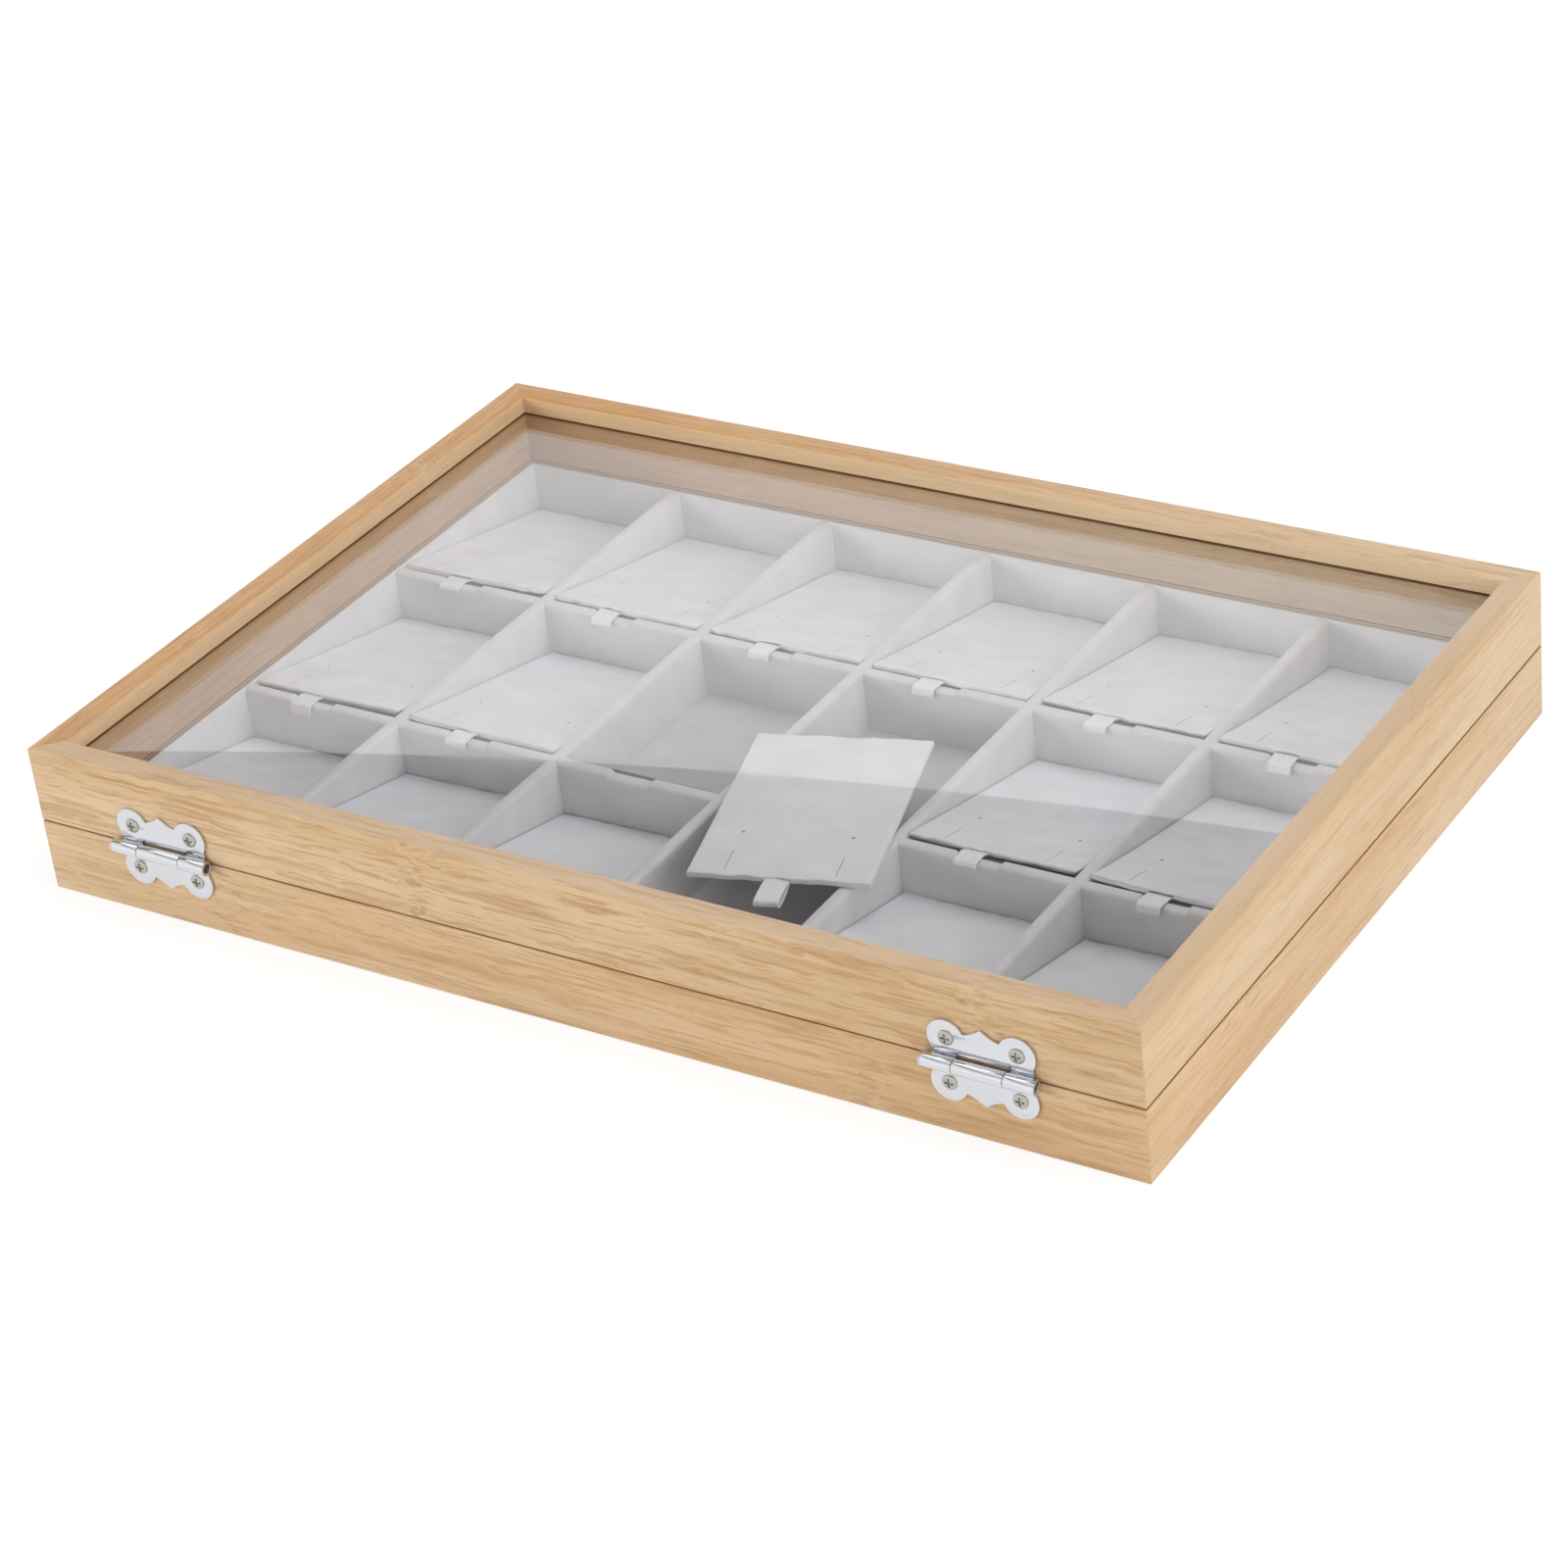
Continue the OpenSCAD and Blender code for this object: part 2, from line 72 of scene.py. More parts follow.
# Compartments of the tray
ROWS, COLUMNS = 3, 6
BASE_LOW, BASE_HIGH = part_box("base_back_rail")
LID_LOW, LID_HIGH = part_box("lid_back_rail")
PANEL_LOW, PANEL_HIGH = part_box("base_panel")
PANE_LOW, PANE_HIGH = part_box("glass_pane")
RAIL_THICKNESS = BASE_HIGH.y - BASE_LOW.y


def linear(hex_colour):
    """Turns an sRGB hex colour into linear red, green and blue."""
    parts = [int(hex_colour[i:i + 2], 16) / 255 for i in (1, 3, 5)]
    return tuple(c / 12.92 if c <= 0.04045 else ((c + 0.055) / 1.055) ** 2.4 for c in parts)


def length(name, description, default):
    """A size property, given in millimetres and kept in metres."""
    return FloatProperty(name=name, description=description, default=default * MM, min=0,
                         subtype="DISTANCE", unit="LENGTH", precision=5)


def colour(name, description, default):
    """A colour property, given as an sRGB hex colour."""
    return FloatVectorProperty(name=name, description=description, default=linear(default),
                               min=0, max=1, subtype="COLOR")


def amount(name, description, default):
    """A property that is no length, such as a share, a power or an index."""
    return FloatProperty(name=name, description=description, default=default, min=0)


class CaseSettings(bpy.types.PropertyGroup):
    """Sizes and colours of the wooden case."""
    edge: length("Edge rounding", "Radius of the outer edges of the rails", 0.5)
    seam: length("Groove rounding", "Radius of the two edges at the mouth of the pane's groove", 0.12)
    bare: length("Bare edge", "How far the film stays back from the joint between base and lid", 0.15)
    # On the right a wider bare strip paints a darker shade along the joint; the joint's gap is not changed
    bare_right_shade: length("Bare edge, right", "The same on the right side, where the joint is more open", 0.2)
    groove_play: length("Groove play", "Gap between the edge of the pane and its groove", 0.3)
    groove_air: length("Groove air", "Open height above the pane in its groove", 0.25)
    groove_bed: length("Groove bed", "Hair of air under the pane in its groove", 0.02)
    light: colour("Light grain", "Colour of the light fibres", "#DDBE96")
    middle: colour("Middle grain", "Main colour of the laminate", "#D2AE80")
    dark: colour("Dark grain", "Colour of the brown streaks", "#B0834F")
    # The pale and the warm tone are partly the film's own tones and partly painted light
    pale: colour("Pale film", "Tone of the paler rails", "#E6D0B2")
    warm: colour("Warm film", "Tone of the warmer rails", "#CC904D")
    film: amount("Film share", "How far a face leans to one of the tones below", 0.4)
    # The lip tone is painted light, the light that the pane throws on the lid's inner faces above it. The
    # inner tone is painted shade on the inner faces under the pane, and the top tone is a painted
    # reflection on the tops of the near and the right rail
    lip: colour("Lip film", "Tone of the lid's inner faces above the pane", "#FFE9C4")
    inner: colour("Inner film", "Greyer tone of the inner faces under the pane", "#8F857C")
    top: colour("Top film", "Greyer tone of the top faces of the near and the right rail", "#C2A893")
    bare_board: colour("Bare board", "Colour of the fibreboard where the film ends", "#9A6A38")
    board: colour("Hardboard", "Colour of the board under the case", "#94714A")


class GlassSettings(bpy.types.PropertyGroup):
    """The pane in the lid."""
    tint: colour("Glass tint", "Colour of clear float glass", "#FDFDFC")
    index: amount("Refractive index", "Index of the glass", 1.56)


class TraySettings(bpy.types.PropertyGroup):
    """The velvet tray with its dividers."""
    edge: length("Divider rounding", "Radius of the velvet over the top of a divider", 1.3)
    rim_edge: length("Rim rounding", "Radius of the velvet over the top of the outer walls", 0.6)
    notch_depth: length("Notch depth", "Depth of a ribbon notch", 1.0)
    notch_slope: length("Notch slope", "Width of the soft side of a ribbon notch", 1.6)
    notch_left: length("Notch left", "How far a notch reaches past its ribbon on the left", 0.5)
    notch_right: length("Notch right", "How far a notch reaches past its ribbon on the right", 6.5)
    bite: length("Divider bite", "How far a column divider reaches into the rounding of a row divider", 1.2)
    rest_edge: length("Rest rounding", "Radius of the felt over the edges of a rest", 0.25)
    velvet: colour("Velvet", "Colour of the velvet on the walls", "#DCDBDE")
    # The floor velvet is the wall velvet painted darker, as shade at the bottom of the compartments
    floor: colour("Floor velvet", "Colour of the velvet on the floor", "#D0CFD2")
    # The rests' felt is dark as painted shade: it shows as the dark line under each card's high edge
    shade_felt: colour("Rest felt", "Colour of the strips under the high edges of the cards", "#7C7A7C")


class CardSettings(bpy.types.PropertyGroup):
    """The sloped velvet cards and the loose one."""
    edge: length("Card rounding", "Radius of the velvet round the upper edge of a card", 0.3)
    taper: length("Card taper", "How far the lower side is drawn in, where the velvet is glued under", 1.3)
    cut: length("Card grid", "Distance between the lines at which a card can bend", 2.4)
    high_lift: length("High edge lift", "The most that a corner of a high edge stands up", 1.0)
    lift: length("Card lift", "The most that a corner of a low edge stands up", 1.8)
    crown: length("Card crown", "The most that a card bulges in its middle", 0.5)
    ragged: length("Ragged edge", "Unevenness of the high and low edges of a card", 0.6)
    closing: amount("Slit closing", "How far the pile closes a slit", 0.5)
    velvet: colour("Velvet", "Colour of the cards' velvet", "#E8E9EE")
    seed: IntProperty(name="Seed", description="Picks another set of bent cards", default=4)


class RibbonSettings(bpy.types.PropertyGroup):
    """The satin ribbons by which the cards are lifted."""
    thickness: length("Satin thickness", "Thickness of one layer of ribbon", 0.22)
    over: length("Over the divider", "How far out from its card a ribbon starts to turn down", 4.9)
    hang: length("Ribbon hang", "The most that the free end of a ribbon hangs down straight", 2.2)
    loose_width: length("Loose ribbon width", "Width of the loose card's ribbon", 7)
    satin: colour("Satin", "Colour of the ribbons", "#EDECF2")
    seed: IntProperty(name="Seed", description="Picks another set of ribbon folds", default=7)


class HingeSettings(bpy.types.PropertyGroup):
    """The two butterfly hinges and their screws."""
    edge: length("Hinge edge", "Radius of the edges of a stamped leaf", 0.12)
    screw_edge: length("Screw edge", "Radius of the edges of a screw's head", 0.06)
    plating: colour("Plating", "Colour of the bright plating", "#D6D8DC")
    screw: colour("Screw", "Colour of the nickel-plated screws", "#B8B5AD")
    # The pin's end is painted dark, as the shade in the hollow end of the barrel
    pin_end_shade: colour("Cut end", "Colour of the unplated cut end of a pin", "#55534F")


class StageSettings(bpy.types.PropertyGroup):
    """Floor, light and camera."""
    floor: length("Floor size", "Width of the floor", 20000)
    sky: amount("Sky", "Light from all round on matt surfaces", 0.6)
    front: amount("Front lamp", "Watts of the lamp at the front", 12)
    side: amount("Side lamp", "Watts of the lamp at the right", 11)
    top: amount("Top lamp", "Watts of the lamp overhead", 7)
    ceiling: amount("Ceiling", "What the pane mirrors from above the pale walls", 0.16)
    lens: amount("Lens", "Focal length on a 36 mm sensor", 98.18)


# The settings that a kind of node gets, unless a call names another
USUAL = {"MapRange": {"interpolation_type": "SMOOTHSTEP"}, "Mix": {"data_type": "RGBA"}}


def add_node(tree, kind, inputs=(), **settings):
    """Adds a shader node, sets its properties and fills its inputs, by name or in their order. An
    input takes a value, an output, or a node, which stands for its first output in use."""
    node = tree.nodes.new("ShaderNode" + kind)
    for name, value in {**USUAL.get(kind, {}), **settings}.items():
        setattr(node, name, value)
    if isinstance(inputs, dict):
        filled = [(node.inputs[name], value) for name, value in inputs.items()]
    else:
        filled = zip([socket for socket in node.inputs if socket.enabled], inputs)
    for socket, value in filled:
        if isinstance(value, bpy.types.Node):
            value = next(output for output in value.outputs if output.enabled)
        if isinstance(value, bpy.types.NodeSocket):
            tree.links.new(value, socket)
        elif socket.type == "RGBA":
            socket.default_value = (*value, 1)
        else:
            socket.default_value = value
    return node


def new_material(name):
    """An empty node material, with its pattern coordinates in millimetres."""
    material = bpy.data.materials.new(name)
    material.use_nodes = True
    tree = material.node_tree
    tree.nodes.clear()
    place = add_node(tree, "TexCoord").outputs["Object"]
    grid = add_node(tree, "Mapping", {"Vector": place, "Scale": (1 / MM, 1 / MM, 1 / MM)})
    return material, tree, grid


def finish_surface(tree, relief, strength, depth, look):
    """Ends a material in a surface with a look, and a relief that is depth millimetres deep."""
    bump = add_node(tree, "Bump", {"Height": relief, "Strength": strength, "Distance": depth * MM})
    surface = add_node(tree, "BsdfPrincipled", {**look, "Normal": bump})
    add_node(tree, "OutputMaterial", {"Surface": surface})


def patches(tree, vector, size, shift=(0, 0, 0), detail=2.0, waves=0.0):
    """Noise whose blotches measure size millimetres along each axis."""
    scale = [1 / s for s in size]
    fitted = add_node(tree, "Mapping", {"Vector": vector, "Location": shift, "Scale": scale})
    noise_inputs = {"Vector": fitted, "Scale": 1.0, "Detail": detail, "Distortion": waves}
    return add_node(tree, "TexNoise", noise_inputs)


def stain(tree, ground, tint, pattern, low, high, least=0.0, most=1.0):
    """Lays a colour over a ground colour. Its share goes smoothly from least, where the pattern is
    at low, to most, where it is at high."""
    share = add_node(tree, "MapRange", [pattern, low, high, least, most])
    return add_node(tree, "Mix", [share, ground, tint])


def near_joints(tree, grain, along, shift, bands):
    """How near a point is to a joint of the cane, from 0 to 1, along the rail's own axis."""
    sway = patches(tree, grain, (9, 5, 5), shift)
    nearest = 0.0
    for middle, half in bands:
        offset = add_node(tree, "Math", [along, middle + half], operation="SUBTRACT")
        bent = add_node(tree, "Math", [sway, 2 * half, offset], operation="MULTIPLY_ADD")
        away = add_node(tree, "Math", [bent], operation="ABSOLUTE")
        mask = add_node(tree, "MapRange", [away, half, half * 0.2])
        nearest = add_node(tree, "Math", [nearest, mask], operation="MAXIMUM")
    return nearest


def bamboo_laminate(name, along_y, half, shift, tones, contrast, bands, light_and_shade_tone=None):
    """Bamboo-grain melamine film on fibreboard: wavy brown streaks along the rail, and mottled
    bands where the cane had its joints. The film is pressed on, so it is satin and almost flat.
    Its tone runs from the first to the second of tones over the rail's length, twice half, partly
    the film's own tone and partly painted fall-off of light. Where a last tone is given, it leans to
    that tone, which paints light or shade on some faces."""
    case = bpy.context.scene.tray_case
    material, tree, grid = new_material(name)
    # Turned so that the first axis runs along the rail
    turn = (0, 0, -math.pi / 2 if along_y else 0)
    straight = add_node(tree, "Mapping", {"Vector": grid, "Rotation": turn})
    along = add_node(tree, "SeparateXYZ", [straight])
    joint = near_joints(tree, straight, along, shift, bands)
    # The streaks wander by about a millimetre, and more round a joint
    sway = patches(tree, straight, (16, 6, 6), shift)
    wander = add_node(tree, "MapRange", [sway, 0.2, 0.8, -1, 1])
    reach = add_node(tree, "MapRange", [joint, 0, 1, 0.65, 1.4])
    moved = add_node(tree, "Math", [wander, reach], operation="MULTIPLY")
    offset = add_node(tree, "CombineXYZ", {"Y": moved, "Z": moved})
    grain = add_node(tree, "VectorMath", [straight, offset], operation="ADD")
    # Real fibres are 0.2 mm wide, drawn at 0.9 mm so that they show
    fibres = patches(tree, grain, (28, 0.9, 0.9), shift, 3.0, 0.4)
    streaks = patches(tree, grain, (52, 2.8, 2.8), shift, 3.0, 0.4)
    clouds = patches(tree, grain, (110, 11, 11), shift)
    tone = stain(tree, case.middle, case.light, clouds, 0.35, 0.65)
    # The tone along a rail is partly the film's own and partly painted fall-off of light
    for tint, sign in ((case.warm, -1), (case.pale, 1)):
        shares = [max(0.0, sign * end) for end in tones]
        tone = stain(tree, tone, tint, along, -half / MM, half / MM, *shares)
    tone = stain(tree, tone, case.light, fibres, 0.5, 0.36, 0, 0.4 * contrast)
    tone = stain(tree, tone, case.dark, streaks, 0.48, 0.68, 0, 0.62 * contrast)
    tone = stain(tree, tone, case.dark, fibres, 0.5, 0.66, 0, 0.7 * contrast)
    # A joint shows as flecks that come and go across the rail
    mottle = patches(tree, straight, (5, 1.5, 1.5), shift, 3.0, 0.8)
    flecks = stain(tree, case.light, case.dark, mottle, 0.42, 0.66)
    gaps = patches(tree, straight, (11, 7, 7), shift)
    share = add_node(tree, "MapRange", [gaps, 0.4, 0.58, 0, 0.75 * contrast])
    mask = add_node(tree, "Math", [joint, share], operation="MULTIPLY")
    tone = add_node(tree, "Mix", [mask, tone, flecks])
    # Leaning to a paler or greyer tone paints light or shade on a face
    if light_and_shade_tone is not None:
        tone = add_node(tree, "Mix", [case.film, tone, light_and_shade_tone])
    rough = add_node(tree, "MapRange", [fibres, 0.3, 0.7, 0.36, 0.48])
    finish_surface(tree, fibres, 0.12, 0.1, {"Base Color": tone, "Roughness": rough, "IOR": 1.5})
    return material


def fibreboard(name, tint):
    """Pressed fibreboard: brown and matt, flecked with darker and lighter fibres."""
    case = bpy.context.scene.tray_case
    material, tree, grid = new_material(name)
    flecks = patches(tree, grid, (1.6, 1.1, 1.1), detail=4.0)
    clouds = patches(tree, grid, (22, 22, 22))
    tone = stain(tree, tint, case.middle, clouds, 0.3, 0.7, 0, 0.12)
    tone = stain(tree, tone, case.dark, flecks, 0.5, 0.7, 0, 0.25)
    finish_surface(tree, flecks, 0.3, 0.1, {"Base Color": tone, "Roughness": 0.8})
    return material


def float_glass():
    """Clear float glass, 2 mm thick: sharp reflections and hardly any tint. Light for the tray
    passes straight through both faces, less a little, so that the inside is lit without grain."""
    glass = bpy.context.scene.tray_glass
    material, tree, grid = new_material("clear float glass")
    # Dust and finger marks only dull the polish a little
    dust = patches(tree, grid, (40, 40, 40), detail=5.0)
    rough = add_node(tree, "MapRange", [dust, 0.45, 0.75, 0.0, 0.015])
    pane = add_node(tree, "BsdfPrincipled", {
        "Base Color": glass.tint, "Roughness": rough, "IOR": glass.index, "Transmission Weight": 1.0})
    clear = add_node(tree, "BsdfTransparent", {"Color": (0.94, 0.94, 0.94)})
    path = add_node(tree, "LightPath").outputs
    rays = [path["Is Shadow Ray"], path["Is Diffuse Ray"]]
    lighting = add_node(tree, "Math", rays, operation="MAXIMUM")
    mixed = add_node(tree, "MixShader", [lighting, pane, clear])
    add_node(tree, "OutputMaterial", {"Surface": mixed})
    return material


def velvet(name, tint, shift):
    """Short-pile display velvet glued on board: matt, softly lit at grazing angles, with a fine
    grain and faint patches where the pile is brushed another way."""
    material, tree, grid = new_material(name)
    # Real pile is 0.1 mm, drawn at 0.5 mm so that it shows
    pile = patches(tree, grid, (0.5, 0.5, 0.5), shift, 3.0)
    brushed = patches(tree, grid, (13, 9, 11), shift, 3.0)
    shade = [c * 0.93 for c in tint]
    bright = [min(1.0, c * 1.02) for c in tint]
    tone = stain(tree, shade, bright, brushed, 0.3, 0.7)
    tone = stain(tree, tone, shade, pile, 0.4, 0.7, 0, 0.6)
    finish_surface(tree, pile, 0.25, 0.12, {
        "Base Color": tone, "Roughness": 0.92, "Specular IOR Level": 0.15,
        "Sheen Weight": 0.25, "Sheen Roughness": 0.45})
    return material


def satin(turn):
    """White polyester satin: a soft gloss, with its floating threads running along the ribbon."""
    ribbon = bpy.context.scene.tray_ribbons
    material, tree, grid = new_material("white satin")
    turned = add_node(tree, "Mapping", {"Vector": grid, "Rotation": (0, 0, -turn)})
    # Real threads are 0.1 mm, drawn at 0.4 mm so that they show
    threads = patches(tree, turned, (0.4, 7, 3))
    shade = [c * 0.82 for c in ribbon.satin]
    tone = stain(tree, ribbon.satin, shade, threads, 0.4, 0.7, 0, 0.5)
    finish_surface(tree, threads, 0.2, 0.1, {
        "Base Color": tone, "Roughness": 0.27, "Specular IOR Level": 0.8, "Sheen Weight": 0.1})
    return material


def plated_steel(name, tint, rough):
    """Nickel or chrome plating on steel: a clean mirror, a little uneven from the stamping."""
    material, tree, grid = new_material(name)
    rubbed = patches(tree, grid, (5, 0.7, 0.7), detail=3.0)
    waves = patches(tree, grid, (3, 3, 3))
    worn = add_node(tree, "MapRange", [rubbed, 0.35, 0.7, rough, rough + 0.1])
    finish_surface(tree, waves, 0.15, 0.3, {"Base Color": tint, "Metallic": 1.0, "Roughness": worn})
    return material


def seen_directly(tree):
    """One for what the camera sees, also mirrored or through the glass, and nothing for the light
    on matt surfaces."""
    path = add_node(tree, "LightPath").outputs
    seen = path["Is Camera Ray"]
    for ray in ("Is Glossy Ray", "Is Transmission Ray"):
        seen = add_node(tree, "Math", [seen, path[ray]], operation="MAXIMUM")
    return seen


def keep_mesh(bm, name):
    """Turns a bmesh into a mesh."""
    mesh = bpy.data.meshes.new(name)
    bm.to_mesh(mesh)
    bm.free()
    return mesh


def put_in_scene(name, data):
    """Links a new object to the scene."""
    thing = bpy.data.objects.new(name, data)
    bpy.context.scene.collection.objects.link(thing)
    return thing


def finish_mesh(bm, name, node, material):
    """Makes a piece of a bmesh. It replaces the CAD node and rides on the node's body."""
    bmesh.ops.recalc_face_normals(bm, faces=bm.faces)
    mesh = keep_mesh(bm, name)
    mesh.shade_smooth()
    mesh.set_sharp_from_angle(angle=math.radians(30))
    mesh.materials.append(material)
    piece = put_in_scene(name, mesh)
    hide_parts(node)
    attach(piece, BODY_OF[node])
    return piece


def finish_node(node, material):
    """Gives a CAD node whose shape is right its real material."""
    slots = NODES[node].data.materials
    slots.clear()
    slots.append(material)


def whole_faces(node):
    """A bmesh of a CAD node, its loose triangles joined and its flat faces made whole."""
    bm = bmesh.new()
    bm.from_mesh(NODES[node].data)
    bmesh.ops.remove_doubles(bm, verts=bm.verts, dist=WELD)
    bmesh.ops.dissolve_limit(bm, angle_limit=math.radians(0.5), verts=bm.verts, edges=bm.edges)
    return bm


def sharp_edges(bm, degrees=40):
    """The edges at which two faces meet at more than this angle."""
    return [e for e in bm.edges if len(e.link_faces) == 2 and e.calc_face_angle() > math.radians(degrees)]


def round_off(bm, parts, radius, segments, kind="EDGES"):
    """Rounds edges, or the corners of a flat face where the kind is VERTICES."""
    bmesh.ops.bevel(bm, geom=parts, offset=radius, offset_type="OFFSET", segments=segments, profile=0.5,
                    affect=kind, clamp_overlap=True, material=-1)


def everything(bm):
    """All the vertices, edges and faces of a bmesh."""
    return bm.verts[:] + bm.edges[:] + bm.faces[:]


def cut_across(bm, axis, places):
    """Adds a line of edges at each place along an axis, so that the mesh can bend there."""
    normal = Vector([float(i == axis) for i in range(3)])
    for place in places:
        bmesh.ops.bisect_plane(bm, geom=everything(bm), dist=WELD, plane_co=normal * place, plane_no=normal)


def steps(low, high, count):
    """Evenly spaced places from low to high."""
    return [low + (high - low) * i / count for i in range(count + 1)]


def add_rail(bm, section, length_out, turn):
    """A rail with 45 degree mitres, from the (y, z, radius) corners of its section."""
    outer = min(y for y, z, radius in section)
    spare = max(y for y, z, radius in section) - outer + 1 * MM
    part = bmesh.new()
    corners = [part.verts.new((-length_out / 2 - spare, y, z)) for y, z, radius in section]
    part.faces.new(corners)
    for corner, (y, z, radius) in zip(corners, section):
        if radius > 0:
            round_off(part, [corner], radius, 3, "VERTICES")
    grown = bmesh.ops.extrude_face_region(part, geom=part.faces[:])
    moved = [g for g in grown["geom"] if isinstance(g, bmesh.types.BMVert)]
    bmesh.ops.translate(part, vec=(length_out + 2 * spare, 0, 0), verts=moved)
    for end in (-1, 1):
        cut = bmesh.ops.bisect_plane(part, geom=everything(part), dist=WELD, clear_outer=True,
                                     plane_co=(end * length_out / 2, outer, 0), plane_no=(end, 1, 0))
        rim = [g for g in cut["geom_cut"] if isinstance(g, bmesh.types.BMEdge)]
        bmesh.ops.contextual_create(part, geom=rim)
    bmesh.ops.rotate(part, verts=part.verts, matrix=Matrix.Rotation(math.radians(turn), 3, "Z"))
    kept = keep_mesh(part, "part")
    bm.from_mesh(kept)
    bpy.data.meshes.remove(kept)


def round_in_plan(bm, half_x, half_y, radius):
    """Rounds the upright corners of the case at the mitred ends of a rail."""
    for vert in bm.verts:
        past = Vector((abs(vert.co.x) - half_x + radius, abs(vert.co.y) - half_y + radius))
        if min(past) > 0 and past.length > radius:
            moved = past.normalized() * radius
            vert.co.x = math.copysign(half_x - radius + moved.x, vert.co.x)
            vert.co.y = math.copysign(half_y - radius + moved.y, vert.co.y)


class DISPLAYTRAY_OT_rails(bpy.types.Operator):
    """Builds the eight mitred rails of the base and the lid"""
    bl_idname = "displaytray.rails"
    bl_label = "Mitred rails"

    # Each rail's tones at its two ends, from warm below zero to pale above, its contrast, and where
    # its cane joints lie along it in millimetres, with their half width. The tones are partly the
    # film's own and partly painted light, such as the near rails darkening towards their right ends
    # as painted fall-off of light
    rails = {
        "base_back_rail": ((0.15, -0.13), 0.65, [(-111, 11), (96, 9)]),
        "lid_back_rail": ((0.15, 0.1), 0.8, [(-42, 12), (131, 9)]),
        "base_front_rail": ((-0.7, 0.1), 0.5, [(52, 10)]),
        "lid_front_rail": ((-0.9, 0.3), 0.6, [(98, 11), (-84, 9)]),
        "base_left_rail": ((-0.5, -0.6), 0.5, [(-40, 10)]),
        "lid_left_rail": ((-0.65, -0.72), 0.75, [(61, 10)]),
        "base_right_rail": ((-0.12, 0.18), 0.4, [(-63, 9)]),
        "lid_right_rail": ((0.12, 0.2), 0.3, [(47, 12)]),
    }
    # The places of a rail's materials, after the film of its outer faces. The inside film paints
    # shade, the lip film paints light, and the top film paints a reflection
    bare, inside, lip, top = range(1, 5)

    def execute(self, context):
        case = context.scene.tray_case
        bare_board = fibreboard("bare fibreboard", case.bare_board)
        half_x, half_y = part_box("base_right_rail")[1].x, -BASE_LOW.y
        for number, (node, (tones, contrast, bands)) in enumerate(self.rails.items()):
            half_of_case, side = node.split("_")[:2]
            is_base = half_of_case == "base"
            along_y = side in ("left", "right")
            out, span = (-half_x, 2 * half_y) if along_y else (-half_y, 2 * half_x)
            bm = bmesh.new()
            section = self.base_section if is_base else self.lid_section
            add_rail(bm, section(case, out), span, SIDES[side])
            # Lines close to the mitres, where the upright corners of the case are rounded
            ends = [end * (span / 2 - inset) for end in (-1, 1) for inset in steps(0, case.edge, 5)[1:]]
            cut_across(bm, int(along_y), ends)
            round_in_plan(bm, half_x, half_y, case.edge)
            name = "bamboo laminate, " + node.replace("_", " ")
            # Each rail shows its own stretch of the pattern
            shift = (number * 3.7, number * 11.3, number * 5.9)
            grain = (along_y, span / 2, shift, tones, contrast, bands)
            piece = finish_mesh(bm, "bamboo_" + node, node, bamboo_laminate(name, *grain))
            # Films that paint shade on the inner faces, light on the lid's lip and a reflection on the tops
            light_and_shade_films = {"inside": case.inner} if is_base else {
                "inside": case.inner, "lip": case.lip, "top": case.top}
            piece.data.materials.append(bare_board)
            for face, tone in light_and_shade_films.items():
                piece.data.materials.append(bamboo_laminate(f"{name}, {face}", *grain, tone))
            self.lay_film(case, piece, side, out)
        return {"FINISHED"}

    def groove(self, case):
        """The lower and the upper face of the pane's groove."""
        return PANE_LOW.z - case.groove_bed, PANE_HIGH.z + case.groove_air

    def base_section(self, case, out):
        """A base rail's section, with the rebate for the bottom board."""
        rebate = out + (PANEL_LOW.y - BASE_LOW.y)
        inner = out + RAIL_THICKNESS
        return [(out, BASE_LOW.z, case.edge), (rebate, BASE_LOW.z, 0), (rebate, PANEL_HIGH.z, 0),
                (inner, PANEL_HIGH.z, 0), (inner, BASE_HIGH.z, 0), (out, BASE_HIGH.z, case.edge)]

    def lid_section(self, case, out):
        """A lid rail's section, with the groove for the pane."""
        low, high = self.groove(case)
        deep = out + (PANE_LOW.y - case.groove_play - LID_LOW.y)
        inner = out + RAIL_THICKNESS
        return [(out, LID_LOW.z, case.edge), (inner, LID_LOW.z, 0), (inner, low, case.seam), (deep, low, 0),
                (deep, high, 0), (inner, high, case.seam), (inner, LID_HIGH.z, case.edge),
                (out, LID_HIGH.z, case.edge)]

    def lay_film(self, case, piece, side, out):
        """Gives each face of a rail its film. Where base and lid meet and in the groove, the board
        is bare, so the joint between them is a dark line. On the right the bare strip is wider, as painted
        shade along the joint. The lid's inner faces above the pane get a paler film as painted light, the
        inner faces under it a greyer film as painted shade, and the tops of the near and the right rail a
        greyer film as a painted reflection."""
        low, high = self.groove(case)
        # On the right the wider bare strip paints shade along the joint
        back = case.bare_right_shade if side == "right" else case.bare
        inner_side = RAIL_THICKNESS - 1 * MM
        for face in piece.data.polygons:
            depth = -out - abs(face.center.x if side in ("left", "right") else face.center.y)
            height = face.center.z
            in_joint = BASE_HIGH.z - back < height < LID_LOW.z + back and depth < inner_side
            if in_joint or low - WELD < height < high + WELD:
                face.material_index = self.bare
            # Inner faces: a paler film above the pane, painted light; a greyer one under it, painted shade
            elif depth > RAIL_THICKNESS - case.seam:
                face.material_index = self.lip if height > high else self.inside
            # The tops of the near and the right rail get a greyer film, a painted reflection
            elif height > LID_HIGH.z - WELD and side in ("back", "right"):
                face.material_index = self.top


